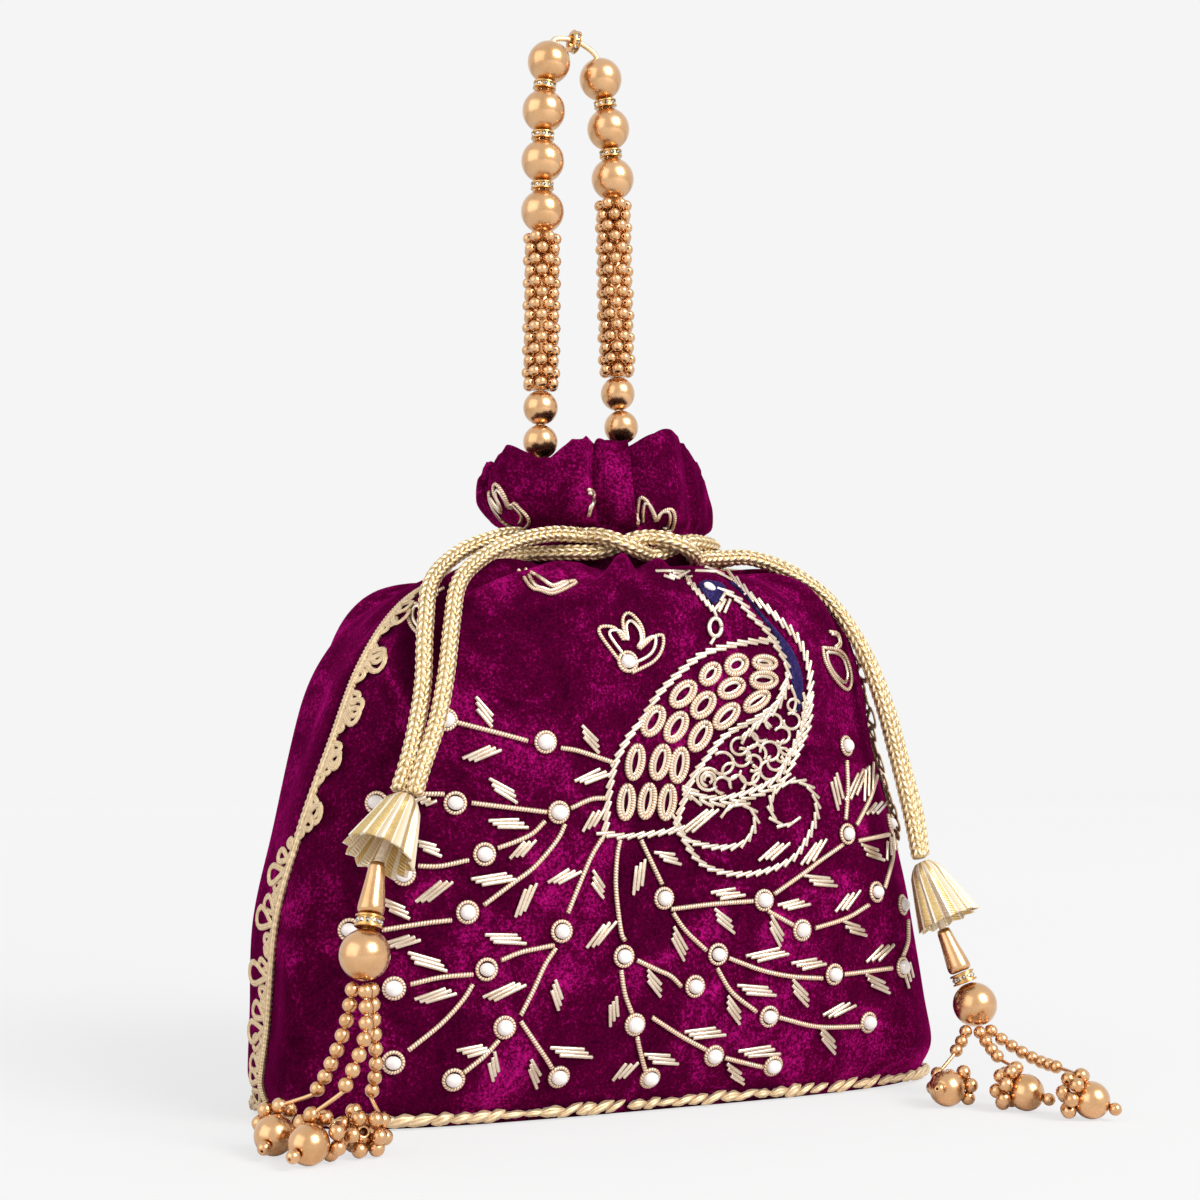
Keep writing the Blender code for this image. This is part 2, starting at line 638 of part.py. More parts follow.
# below the beads it spreads to a knot on each side of the mouth, on the swing's axis
tab_half_width = 0.0026
tab_low, tab_high = 0.0040, 0.0026
tab_thickness = 0.0012
knot_radius = 0.0012
tab_stand = 4 * gap
tab_rows = np.interp([hinge_z - tab_low, hinge_z, hinge_z + tab_high], rows[0][neck_row:],
                     np.arange(neck_row, row_count))[:, None]
tab_y = handle_y + tab_half_width * np.array([[-1.2, 0, 1.2]])
tab_turn = np.degrees(np.arcsin(tab_y / ruffle_half_depth))
left_wall = wall(tab_rows, 180 - tab_turn)[..., 0].max() + velvet
right_wall = wall(tab_rows, tab_turn)[..., 0].min() - velvet
left_end = np.array([left_wall + tab_stand + tab_thickness + gap, handle_y, hinge_z])
right_end = np.array([right_wall - tab_stand - tab_thickness - gap, handle_y, hinge_z])
left_foot = left_nodes[0] - (0.0006, 0, 0.0022)
right_foot = right_nodes[0] + (0.0008, 0, -0.0022)
wire_path = ([left_end, left_end + (0.0020, 0, 0), left_foot] + left_nodes[:-1] + [left_top] + arch
             + [right_top] + right_nodes[-2::-1] + [right_foot, right_end - (0.0020, 0, 0), right_end])
wire_radii = np.full(len(wire_path), wire_radius)
wire_radii[[0, -1]] = knot_radius
make("handle_wire", sweep(wire_path, wire_radii, 6), gold)


def handle_tab(wall_x, toward):
    # a stitched ribbon patch that holds the wire's knot
    x0 = wall_x + toward * tab_stand
    x1 = x0 + toward * tab_thickness
    lo, hi, half = min(x0, x1), max(x0, x1), tab_half_width
    verts = [(x, handle_y + y, z) for z in (hinge_z - tab_low, hinge_z + tab_high) for x, y in
             ((lo, -half), (hi, -half), (hi, half), (lo, half))]
    faces = [(3, 2, 1, 0), (4, 5, 6, 7), (0, 1, 5, 4), (1, 2, 6, 5), (2, 3, 7, 6), (3, 0, 4, 7)]
    return np.array(verts), faces


make("handle_tab_left", handle_tab(left_wall, 1), wine)
make("handle_tab_right", handle_tab(right_wall, -1), wine)


# Embroidery on the front: places are across and up, in thousandths of the body's half width and height
across = body_half_width / 1000
upward = neck_height / 1000


def on_front(x, z, lift):
    hit, normal, _, _ = front.ray_cast(Vector((x, -0.2, z)), Vector((0, 1, 0)))
    return np.array(hit + normal * lift), np.array(normal)


def stitched_line(points, radius, sides=4, step=0.0065):
    flat = np.array([(x * across, 0, z * upward) for x, z in points])
    line = smooth_route(flat, 0.0005)
    run = np.concatenate([[0], np.cumsum(np.linalg.norm(np.diff(line, axis=0), axis=1))])
    at = np.linspace(0, run[-1], max(2, round(run[-1] / step) + 1))
    xs, zs = np.interp(at, run, line[:, 0]), np.interp(at, run, line[:, 2])
    path = [on_front(x, z, radius + 3 * gap)[0] for x, z in zip(xs, zs)]
    return sweep(path, radius, sides)


pearls = [(-396, 662), (-643, 699), (-626, 556), (-804, 556), (-360, 540), (-555, 469), (-750, 435),
          (-599, 371), (-871, 341), (-350, 333), (-551, 273), (-774, 245), (-496, 171), (-770, 119),
          (-619, 87), (-336, 79), (-173, 285), (-58, 384), (251, 375), (40, 225), (107, 279), (-132, 163),
          (-69, 64), (115, 96), (276, 162), (309, 67), (559, 658), (768, 624), (548, 491), (756, 507),
          (656, 379), (779, 350), (375, 316), (491, 231), (762, 232), (622, 133)]
stems = [[(-643, 699), (-510, 676), (-396, 662)], [(-396, 662), (-306, 646), (-205, 626), (-153, 616)],
         [(-626, 556), (-705, 572), (-804, 556)], [(-626, 556), (-502, 550), (-360, 540)],
         [(-360, 540), (-273, 561), (-231, 563), (-164, 563)], [(-360, 540), (-432, 504), (-555, 469)],
         [(-555, 469), (-665, 449), (-750, 435)], [(-360, 540), (-393, 469), (-485, 418), (-599, 371)],
         [(-599, 371), (-703, 353), (-871, 341)], [(-209, 517), (-273, 460), (-303, 415), (-350, 333)],
         [(-181, 521), (-199, 459), (-201, 402), (-193, 345), (-173, 285)],
         [(-134, 524), (-97, 450), (-58, 384)], [(-58, 384), (87, 371), (251, 375)],
         [(-58, 384), (8, 325), (107, 279)], [(107, 279), (156, 210), (276, 162)],
         [(107, 279), (246, 246), (342, 232), (491, 231)], [(-173, 285), (-73, 257), (40, 225)],
         [(-173, 285), (-165, 218), (-132, 163)], [(-132, 163), (-108, 108), (-69, 64)],
         [(-132, 163), (3, 138), (115, 96)], [(115, 96), (215, 79), (309, 67)],
         [(-350, 333), (-461, 299), (-551, 273)], [(-350, 333), (-423, 234), (-496, 171)],
         [(-496, 171), (-545, 122), (-619, 87)], [(-496, 171), (-382, 116), (-336, 79)],
         [(-551, 273), (-665, 261), (-774, 245)], [(-551, 273), (-661, 181), (-770, 119)],
         [(559, 658), (552, 575), (548, 491)], [(768, 624), (661, 557), (548, 491)],
         [(548, 491), (756, 507)], [(548, 491), (389, 423), (251, 375)],
         [(756, 507), (778, 444), (656, 379)], [(656, 379), (534, 333), (375, 316)],
         [(251, 375), (346, 325), (375, 316)], [(491, 231), (618, 230), (762, 232)],
         [(779, 350), (790, 290), (762, 232)], [(276, 162), (440, 136), (622, 133)]]


def pearl_stud(x, z):
    centre, normal = on_front(x * across, z * upward, 3 * gap)
    profile = [(pearl_ring, 0.0), (0.93 * pearl_ring, 0.0008), (pearl_radius, 0.0012),
               (0.6 * pearl_radius, 0.0021)]
    return lathe(profile, 6, centre, normal)


def appliqued(outline, thickness):
    # a flat motif of outline points, seated on the velvet: rings of faces closing on its middle
    rim = np.array(outline, float)
    middle = rim.mean(axis=0)
    places = np.concatenate([middle + share * (rim - middle) for share in (1, 0.7, 0.4)] + [middle[None]])
    low, high = [[on_front(x * across, z * upward, 3 * gap + lift)[0] for x, z in places]
                 for lift in (0, thickness)]
    n, top = len(rim), len(places)
    faces = []
    for k in range(n):
        m = (k + 1) % n
        for ring in (0, n):
            faces.append((top + ring + k, top + ring + m, top + ring + n + m, top + ring + n + k))
            faces.append((ring + m, ring + k, ring + n + k, ring + n + m))
        faces.append((top + 2 * n + k, top + 2 * n + m, 2 * top - 1))
        faces.append((2 * n + m, 2 * n + k, top - 1))
        faces.append((k, m, top + m, top + k))
    return np.array(low + high), faces


wing = [(-189, 496), (-128, 497), (-69, 502), (-40, 508), (0, 540), (45, 562), (101, 564), (176, 569),
        (247, 583), (308, 611), (355, 663), (395, 729), (390, 797), (330, 828), (275, 853), (193, 847),
        (83, 828), (-9, 792), (-81, 746), (-147, 688), (-197, 637), (-219, 586), (-230, 533)]
neck = [(354, 721), (371, 763), (354, 812), (306, 860), (250, 903), (184, 943), (121, 958)]
curls = [[(-45, 541), (4, 492), (102, 474), (183, 481), (222, 521), (189, 547), (126, 538)],
         [(-57, 520), (22, 463), (116, 428), (225, 425), (339, 448), (412, 504), (424, 564), (357, 592),
          (284, 572), (278, 535), (318, 513), (349, 516)]]
lines = [stitched_line(s, stem_radius) for s in stems + curls]
lines.append(stitched_line(neck, 0.0013, sides=6, step=0.003))
sprays = make("peacock_embroidery", join(lines + [pearl_stud(x, z) for x, z in pearls]), silver_gold)
core = make("wing_core", appliqued(wing, 0.0008), silver_gold)
core.hide_render = True
core.display_type = "WIRE"
union = sprays.modifiers.new("one piece", "BOOLEAN")
union.operation = "UNION"
union.solver = "EXACT"
union.use_self = True
union.object = core
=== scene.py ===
import math
import bpy
import numpy as np
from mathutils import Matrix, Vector


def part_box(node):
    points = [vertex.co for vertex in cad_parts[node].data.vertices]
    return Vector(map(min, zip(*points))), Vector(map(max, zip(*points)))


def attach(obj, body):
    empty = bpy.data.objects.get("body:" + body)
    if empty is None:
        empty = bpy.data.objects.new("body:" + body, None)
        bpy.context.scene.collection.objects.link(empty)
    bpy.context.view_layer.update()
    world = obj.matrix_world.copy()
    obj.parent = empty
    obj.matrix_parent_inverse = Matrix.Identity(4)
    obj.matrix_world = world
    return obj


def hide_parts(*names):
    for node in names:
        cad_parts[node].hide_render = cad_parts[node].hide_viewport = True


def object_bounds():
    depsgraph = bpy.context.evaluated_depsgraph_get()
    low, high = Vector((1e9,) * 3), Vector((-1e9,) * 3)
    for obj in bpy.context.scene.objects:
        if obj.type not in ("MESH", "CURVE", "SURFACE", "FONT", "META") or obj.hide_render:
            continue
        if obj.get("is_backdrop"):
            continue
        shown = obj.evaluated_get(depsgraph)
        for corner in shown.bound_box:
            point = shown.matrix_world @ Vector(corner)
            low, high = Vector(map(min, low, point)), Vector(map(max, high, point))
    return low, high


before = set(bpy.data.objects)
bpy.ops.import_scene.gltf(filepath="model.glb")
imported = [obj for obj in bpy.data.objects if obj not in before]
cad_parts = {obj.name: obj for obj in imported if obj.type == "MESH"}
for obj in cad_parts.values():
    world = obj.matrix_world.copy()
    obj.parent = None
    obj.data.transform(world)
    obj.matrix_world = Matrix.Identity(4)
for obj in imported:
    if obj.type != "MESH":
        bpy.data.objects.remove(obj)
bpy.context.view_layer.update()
mm = 0.001
upright = np.array([0, 0, 1.0])
print("frame loaded with", len(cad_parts), "nodes")


# Camera at the photograph's angle
camera = {"place": (-0.25158, -0.47895, 0.0848), "turn": 27.5, "tilt": 4.9, "lens": 60.0,
          "sensor": 36.0, "image": 1200}

cameraData = bpy.data.cameras.new("camera")
cameraData.lens = camera["lens"]
cameraData.sensor_width = camera["sensor"]
cameraObject = bpy.data.objects.new("camera", cameraData)
cameraObject.location = camera["place"]
cameraObject.rotation_euler = (math.radians(90 + camera["tilt"]), 0, -math.radians(camera["turn"]))
bpy.context.scene.collection.objects.link(cameraObject)
bpy.context.scene.camera = cameraObject

turnAngle, tiltAngle = math.radians(camera["turn"]), math.radians(camera["tilt"])
sightLine = np.array([math.sin(turnAngle) * math.cos(tiltAngle),
                      math.cos(turnAngle) * math.cos(tiltAngle), math.sin(tiltAngle)])
sightRight = np.array([math.cos(turnAngle), -math.sin(turnAngle), 0.0])
sightUp = np.cross(sightRight, sightLine)
focalPixels = camera["lens"] / camera["sensor"] * camera["image"]


def seenAt(points):
    # the photograph's pixel of each point: right and up over depth, times the focal length
    away = points - np.array(camera["place"])
    depth = away @ sightLine
    middle = camera["image"] / 2
    return np.stack([middle + focalPixels * (away @ sightRight) / depth,
                     middle - focalPixels * (away @ sightUp) / depth], -1)


# Forms: points with quads and triangles, each corner with its own pattern place
def unit(v):
    # each vector over its own length
    return v / np.linalg.norm(v, axis=-1, keepdims=True)


def gridForm(points, closedRows=False, closedColumns=False, capStart=False, capEnd=False, reach=1.0):
    # quads between neighbouring rows and columns; a cap is a fan of triangles to the ring's middle
    points = np.asarray(points, float)
    rows, columns = points.shape[:2]
    r, c = np.meshgrid(np.arange(rows if closedRows else rows - 1),
                       np.arange(columns if closedColumns else columns - 1), indexing="ij")
    cornerRow = np.stack([r, r, r + 1, r + 1], -1).reshape(-1, 4)
    cornerColumn = np.stack([c, c + 1, c + 1, c], -1).reshape(-1, 4)
    quads = cornerRow % rows * columns + cornerColumn % columns
    quadUv = np.stack([cornerColumn / columns, cornerRow * (reach / (rows - 1))], -1)
    flat = points.reshape(-1, 3)
    tris, triUv = [], []
    k = np.arange(columns)
    for cap, row, v in ((capStart, 0, 0.0), (capEnd, rows - 1, reach)):
        if cap:
            pole = len(flat)
            flat = np.concatenate([flat, points[row].mean(axis=0)[None]])
            a, b = row * columns + k, row * columns + (k + 1) % columns
            ends = (a, b) if row else (b, a)
            tris.append(np.stack([*ends, np.full(columns, pole)], -1))
            triUv.append(np.stack([np.stack([k, k + 1, k + 0.5], -1) / columns,
                                   np.full((columns, 3), v)], -1))
    return {"points": flat, "quads": quads, "quadUv": quadUv,
            "tris": np.concatenate(tris) if tris else np.zeros((0, 3), int),
            "triUv": np.concatenate(triUv) if tris else np.zeros((0, 3, 2))}


def joinForms(forms):
    # points one after the other, and each form's corners counted on from the last
    starts = np.cumsum([0] + [len(f["points"]) for f in forms[:-1]])
    return {"points": np.concatenate([f["points"] for f in forms]),
            "quads": np.concatenate([f["quads"] + s for f, s in zip(forms, starts)]),
            "tris": np.concatenate([f["tris"] + s for f, s in zip(forms, starts)]),
            "quadUv": np.concatenate([f["quadUv"] for f in forms]),
            "triUv": np.concatenate([f["triUv"] for f in forms])}


def scatterForm(base, places, frames, sizes):
    # one form set at many places: size times its own axes, which are the rows of each frame
    places, sizes = np.asarray(places, float), np.asarray(sizes, float)
    sizes = np.broadcast_to(sizes.reshape(len(sizes), -1), (len(places), 3))
    points = places[:, None] + np.einsum("pk,nk,nkj->npj", base["points"], sizes, frames)
    shift = (np.arange(len(places)) * len(base["points"]))[:, None, None]
    return {"points": points.reshape(-1, 3),
            "quads": (base["quads"][None] + shift).reshape(-1, 4),
            "tris": (base["tris"][None] + shift).reshape(-1, 3),
            "quadUv": np.tile(base["quadUv"], (len(places), 1, 1)),
            "triUv": np.tile(base["triUv"], (len(places), 1, 1))}


def framesAlong(way, towards):
    # side, up and way, where up is as near as it can be to the wanted direction
    way = unit(np.asarray(way, float))
    side = unit(np.cross(np.broadcast_to(towards, way.shape), way))
    return np.stack([side, np.cross(way, side), way], -2)


def tubeForm(path, radius, sides, towards, closed=False, flat=1.0, reach=None):
    # path plus radius times (cos side + flat sin up), with both ends closed
    path = np.asarray(path, float)
    if closed:
        way = np.roll(path, -1, 0) - np.roll(path, 1, 0)
    else:
        way = np.gradient(path, axis=0)
    frames = framesAlong(way, towards)
    turn = np.arange(sides) * 2 * np.pi / sides
    radius = np.broadcast_to(np.asarray(radius, float), (len(path), sides) if np.ndim(radius) == 2
                             else (len(path),)).reshape(len(path), -1)
    ring = (np.cos(turn)[None, :, None] * frames[:, None, 0]
            + flat * np.sin(turn)[None, :, None] * frames[:, None, 1])
    if reach is None:
        reach = np.linalg.norm(np.diff(path, axis=0), axis=1).sum()
    return gridForm(path[:, None] + radius[..., None] * ring, closedRows=closed, closedColumns=True,
                    capStart=not closed, capEnd=not closed, reach=reach)


def turnedForm(profile, sides, closed=False):
    # radius and height of a profile carried round the upright axis
    profile = np.asarray(profile, float)
    turn = np.arange(sides) * 2 * np.pi / sides
    ring = np.stack([np.cos(turn), np.sin(turn), 0 * turn], -1)
    points = profile[:, None, :1] * ring[None] + profile[:, None, 1:] * upright
    return gridForm(points, closedRows=closed, closedColumns=True, capStart=not closed,
                    capEnd=not closed, reach=np.abs(profile[:, 1]).max() * 2)


def smoothRoute(route, spacing):
    # a Catmull-Rom curve through the route, read again at even steps
    p = np.asarray(route, float)
    ends = np.concatenate([[2 * p[0] - p[1]], p, [2 * p[-1] - p[-2]]])
    a, b, c, d = [ends[k:k + len(p) - 1, None] for k in range(4)]
    t = np.linspace(0, 1, 24, endpoint=False)[None, :, None]
    fine = 0.5 * (2 * b + (c - a) * t + (2 * a - 5 * b + 4 * c - d) * t**2
                  + (3 * b - a - 3 * c + d) * t**3)
    fine = np.concatenate([fine.reshape(-1, p.shape[1]), p[-1:]])
    run = np.concatenate([[0], np.cumsum(np.linalg.norm(np.diff(fine, axis=0), axis=1))])
    at = np.linspace(0, run[-1], max(2, round(run[-1] / spacing) + 1))
    return np.stack([np.interp(at, run, fine[:, k]) for k in range(p.shape[1])], -1)


def turnedRound(form):
    # the same form with every face pointing the other way
    return {key: value if key == "points" else value[:, ::-1] for key, value in form.items()}


def along(start, stop):
    # the unit direction from start to stop
    return unit(np.asarray(stop, float) - np.asarray(start, float))


def setUp(form, place, way):
    # the form's upright axis laid along a direction
    way = np.array([way], float)
    towards = (0, 1, 0) if abs(unit(way)[0, 1]) < 0.9 else (1, 0, 0)
    return scatterForm(form, np.array([place]), framesAlong(way, towards), np.array([[1.0]]))


def middleOf(node):
    # the middle of a CAD node's box
    low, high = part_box(node)
    return (np.array(low) + np.array(high)) / 2


def pieceName(node):
    # the node's words joined in camel case
    first, *rest = node.split("_")
    return first + "".join(word.capitalize() for word in rest)


def putPiece(name, form, material, nodes=(), body="bag", sharp=None):
    # a form made a mesh at the origin, riding on its body and replacing its CAD nodes
    mesh = bpy.data.meshes.new(name)
    mesh.from_pydata(form["points"].tolist(), [], form["quads"].tolist() + form["tris"].tolist())
    uv = mesh.uv_layers.new(name="pattern")
    corners = np.concatenate([form["quadUv"].reshape(-1, 2), form["triUv"].reshape(-1, 2)])
    uv.data.foreach_set("uv", corners.astype(np.float32).ravel())
    mesh.shade_smooth()
    if sharp is not None:
        mesh.set_sharp_from_angle(angle=math.radians(sharp))
    mesh.materials.append(material)
    piece = bpy.data.objects.new(name, mesh)
    bpy.context.scene.collection.objects.link(piece)
    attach(piece, body)
    if nodes:
        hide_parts(*nodes)
    return piece


# Materials
class Surface:
    # a material with its main shader and short ways to add nodes
    def __init__(self, name):
        self.material = bpy.data.materials.new(name)
        self.material.use_nodes = True
        self.tree = self.material.node_tree
        self.shader = self.tree.nodes["Principled BSDF"]
        self.place = self.tree.nodes.new("ShaderNodeTexCoord")

    def plain(self, **values):
        for key, value in values.items():
            self.shader.inputs[key.replace("_", " ")].default_value = value

    def add(self, kind, links=(), **values):
        node = self.tree.nodes.new(kind)
        for key, value in values.items():
            if hasattr(node, key):
                setattr(node, key, value)
            else:
                node.inputs[key.replace("_", " ")].default_value = value
        for socket, source in links:
            self.tree.links.new(source, node.inputs[socket])
        return node

    def noise(self, scale, detail=2.0, roughness=0.5, distortion=0.0):
        node = self.add("ShaderNodeTexNoise", [("Vector", self.place.outputs["Object"])],
                        Scale=scale, Detail=detail, Roughness=roughness, Distortion=distortion)
        return node.outputs["Fac"]

    def ramp(self, source, stops):
        node = self.add("ShaderNodeValToRGB", [("Fac", source)])
        ramp = node.color_ramp
        for k, (at, colour) in enumerate(stops):
            stop = ramp.elements[k] if k < 2 else ramp.elements.new(at)
            stop.position, stop.color = at, (*colour, 1.0)
        return node.outputs["Color"]

    def maths(self, operation, *values):
        node = self.tree.nodes.new("ShaderNodeMath")
        node.operation = operation
        for k, value in enumerate(values):
            if isinstance(value, (int, float)):
                node.inputs[k].default_value = value
            else:
                self.tree.links.new(value, node.inputs[k])
        return node.outputs[0]

    def plus(self, first, second):
        return self.maths("ADD", first, second)

    def times(self, first, second):
        return self.maths("MULTIPLY", first, second)

    def mixed(self, share, first, second):
        node = self.tree.nodes.new("ShaderNodeMix")
        node.data_type = "RGBA"
        sockets = node.inputs["Factor"], node.inputs[6], node.inputs[7]
        for socket, value in zip(sockets, (share, first, second)):
            if isinstance(value, tuple):
                socket.default_value = (*value, 1.0)
            else:
                self.tree.links.new(value, socket)
        return node.outputs[2]

    def pattern(self):
        # the piece's own pattern: the share of a turn around it, and the metres along it
        parts = self.add("ShaderNodeSeparateXYZ", [("Vector", self.place.outputs["UV"])])
        return parts.outputs["X"], parts.outputs["Y"]

    def bump(self, height, strength, distance):
        node = self.add("ShaderNodeBump", [("Height", height)], Strength=strength, Distance=distance)
        self.tree.links.new(node.outputs["Normal"], self.shader.inputs["Normal"])

    def into(self, socket, source):
        self.tree.links.new(source, self.shader.inputs[socket])


# pile: noises for crushed patches, brush strokes and speckle, with the share that each has in the colour;
# the crushed patches are the pile's own mottling, and their lighter colour is partly painted sheen
pile = {"patches": (40, 5.0, 0.6, 1.4), "strokes": (240, 3.0, 0.7, 0.5), "speckle": (1300, 2.0, 0.8),
        "shares": (0.52, 0.18, 0.50), "stops": (0.46, 0.625, 0.81), "strokeBump": 0.8, "bump": 0.55,
        "height": 0.0004}
velvetLook = {"deep": (0.026, 0.0002, 0.009), "middle": (0.074, 0.0005, 0.023),
              "crushedSheen": (0.46, 0.006, 0.18), "sheen": (0.66, 0.01, 0.26)}
indigoLook = {"deep": (0.010, 0.007, 0.040), "middle": (0.026, 0.018, 0.085),
              "crushedSheen": (0.08, 0.06, 0.22), "sheen": (0.16, 0.12, 0.36)}


def velvetSurface(name, deep, middle, crushedSheen, sheen):
    # colour from deep to crushed by the sum of the three noises, each times its share; the crushed colour is
    # partly painted sheen
    s = Surface(name)
    s.plain(Roughness=0.95, Specular_IOR_Level=0.0, Sheen_Weight=0.42, Sheen_Roughness=0.4,
            Sheen_Tint=(*sheen, 1.0))
    noises = [s.noise(*pile[layer]) for layer in ("patches", "strokes", "speckle")]
    patches, strokes, speckle = [s.times(noise, share) for noise, share in zip(noises, pile["shares"])]
    brushed = s.plus(patches, s.plus(strokes, speckle))
    low, half, high = pile["stops"]
    s.into("Base Color", s.ramp(brushed, [(low, deep), (high, crushedSheen), (half, middle)]))
    s.bump(s.plus(noises[2], s.times(noises[1], pile["strokeBump"])), pile["bump"], pile["height"])
    return s.material


velvet = velvetSurface("wineVelvet", **velvetLook)
indigo = velvetSurface("indigoSatin", **indigoLook)

# satin, pearl, stone and thread: two colour stops of a soft noise, and a finer noise for the bump
cloudLooks = {
    "wineSatin": {"stops": [(0.3, (0.045, 0.001, 0.016)), (0.7, (0.10, 0.003, 0.04))], "cloud": (60, 3.0),
                  "grain": (900, 2.0), "bump": (0.2, 0.0002), "Roughness": 0.38, "Specular_IOR_Level": 0.4,
                  "Sheen_Weight": 0.2},
    "seedPearl": {"stops": [(0.3, (0.78, 0.70, 0.66)), (0.7, (0.90, 0.87, 0.84))], "cloud": (420, 2.0),
                  "Roughness": 0.22, "Specular_IOR_Level": 0.6, "Coat_Weight": 0.5, "Coat_Roughness": 0.12},
    # cut stones: their near black and near white spots are painted reflection of the facets
    "cutStonePaintedFacets": {"stops": [(0.42, (0.16, 0.14, 0.11)), (0.62, (0.98, 0.96, 0.92))], "cloud": (2400, 1.0),
                 "Metallic": 0.85, "Roughness": 0.06},
    "creamThread": {"stops": [(0.3, (0.66, 0.50, 0.34)), (0.7, (0.86, 0.74, 0.58))], "cloud": (1200, 3.0),
                    "grain": (2600, 2.0), "bump": (0.5, 0.0002), "Roughness": 0.9, "Sheen_Weight": 0.3}}


def cloudSurface(name, stops, cloud, grain=None, bump=None, **values):
    # colour by a soft noise between its stops, bump by a fine one, and the rest as plain values
    s = Surface(name)
    s.plain(**values)
    s.into("Base Color", s.ramp(s.noise(*cloud), stops))
    if grain:
        s.bump(s.noise(*grain), *bump)
    return s.material


satin, pearlWhite, stone, cottonThread = [cloudSurface(name, **look) for name, look in cloudLooks.items()]

# each gold: its colour, its darker colour, roughness, scale of the scratches and height of their bump
goldLooks = {"satinGold": ((0.72, 0.42, 0.205), (0.58, 0.31, 0.12), 0.20, 2600, 0.00005),
             "goldWire": ((0.90, 0.66, 0.36), (0.74, 0.46, 0.2), 0.2, 3000, 0.00004),
             "silverGoldTube": ((0.80, 0.68, 0.55), (0.60, 0.46, 0.34), 0.26, 3200, 0.00004),
             "rimGold": ((0.74, 0.43, 0.14), (0.50, 0.26, 0.06), 0.2, 2400, 0.00004)}
goldFinish = {"coat": 0.7, "coatRoughness": 0.18, "cloud": (180, 3.0, 0.6), "stops": (0.25, 0.6),
              "scratchRoughness": 0.12, "scratchBump": 0.12}


def goldSurface(name, colour, dark, roughness, scale, height):
    # colour from a soft noise; roughness and bump from one fine noise of scratches
    s = Surface(name)
    s.plain(Metallic=1.0, Coat_Weight=goldFinish["coat"], Coat_Roughness=goldFinish["coatRoughness"])
    low, high = goldFinish["stops"]
    s.into("Base Color", s.ramp(s.noise(*goldFinish["cloud"]), [(low, dark), (high, colour)]))
    scratch = s.noise(scale, 2.0, 0.7)
    s.into("Roughness", s.plus(s.times(scratch, goldFinish["scratchRoughness"]), roughness))
    s.bump(scratch, goldFinish["scratchBump"], height)
    return s.material


beadGold, wireGold, paleGold, rimGold = [goldSurface(name, *look) for name, look in goldLooks.items()]

# coiled wire: light for the wire, dark for the painted shade in the gaps between its turns
coilLook = {"light": (0.96, 0.78, 0.60), "dark": (0.46, 0.26, 0.15), "pitch": 0.00072, "roughness": 0.28,
            "bump": 0.7, "height": 0.00012}


def coilSurface(look):
    # fine turns of a coiled wire: half of 1 plus the sine of its turn plus the place along it over the
    # pitch; its dark colour is painted shade in the gaps between the turns
    s = Surface("coiledWire")
    s.plain(Metallic=0.6)
    turn, run = s.pattern()
    slant = s.plus(s.times(run, 1 / look["pitch"]), turn)
    turnsWithGapShade = s.plus(s.times(s.maths("SINE", s.times(slant, 2 * math.pi)), 0.5), 0.5)
    s.into("Base Color", s.mixed(turnsWithGapShade, look["dark"], look["light"]))
    s.into("Roughness", s.plus(s.times(s.noise(2000, 2.0), 0.2), look["roughness"]))
    s.bump(turnsWithGapShade, look["bump"], look["height"])
    return s.material


coilGold = coilSurface(coilLook)

# braid: its size, the relief and slant of its leaves, and its colours, with lurex glitter; the dark colour
# is painted shade in the grooves and the glitter is painted glints
braid = {"diameter": 0.0042, "columns": 8, "perColumn": 5, "pitch": 0.0021, "step": 0.00034, "relief": 0.19,
         "slant": 0.8, "dark": (0.34, 0.20, 0.06), "middle": (0.86, 0.66, 0.38), "light": (1.0, 0.92, 0.72),
         "stops": (0.12, 0.55, 1.0), "glitter": 2300.0, "leafShare": 0.78, "glitterShare": 0.3}


def braidSurface(look):
    # leaves: sine across each column times a cosine along it, slanting the other way in the next column; in
    # the colour this is painted shade, darker in the grooves between leaves and between columns, plus
    # painted glints of glitter
    s = Surface("braidedLurex")
    s.plain(Metallic=0.7)
    turn, run = s.pattern()
    column = s.times(turn, float(look["columns"]))
    across = s.maths("FRACT", column)
    way = s.maths("SUBTRACT", 1.0, s.times(s.maths("MODULO", s.maths("FLOOR", column), 2.0), 2.0))
    slant = s.times(way, s.times(s.maths("SUBTRACT", across, 0.5), look["slant"]))
    leaf = s.maths("COSINE", s.times(s.plus(s.times(run, 1 / look["pitch"]), slant), 2 * math.pi))
    leafShade = s.times(s.maths("SINE", s.times(across, math.pi)), s.plus(0.6, s.times(leaf, 0.4)))
    cells = s.add("ShaderNodeTexVoronoi", [("Vector", s.place.outputs["Object"])], Scale=look["glitter"])
    glitter = s.add("ShaderNodeSeparateColor", [("Color", cells.outputs["Color"])]).outputs[0]
    shade = s.plus(s.times(leafShade, look["leafShare"]), s.times(glitter, look["glitterShare"]))
    low, half, high = look["stops"]
    s.into("Base Color", s.ramp(shade, [(low, look["dark"]), (high, look["light"]), (half, look["middle"])]))
    s.into("Roughness", s.plus(s.times(glitter, 0.2), 0.26))
    s.bump(shade, 0.8, 0.0003)
    return s.material


braidGold = braidSurface(braid)

ribbonLook = {"dark": (0.46, 0.30, 0.15), "light": (0.90, 0.70, 0.44), "ribs": 44.0, "ribShare": 0.25,
              "roughness": 0.38, "bump": 0.35, "height": 0.00012}


def ribbonSurface(look):
    # ribs: a sine across the ribbon, and the colour is their share plus a fine noise
    s = Surface("gotaRibbon")
    s.plain(Metallic=0.55, Sheen_Weight=0.2)
    ribs = s.maths("SINE", s.times(s.pattern()[0], look["ribs"]))
    shade = s.plus(s.times(ribs, look["ribShare"]), s.noise(900, 2.0))
    s.into("Base Color", s.mixed(shade, look["dark"], look["light"]))
    s.into("Roughness", s.plus(s.times(s.noise(1500), 0.2), look["roughness"]))
    s.bump(ribs, look["bump"], look["height"])
    return s.material


ribbonGold = ribbonSurface(ribbonLook)

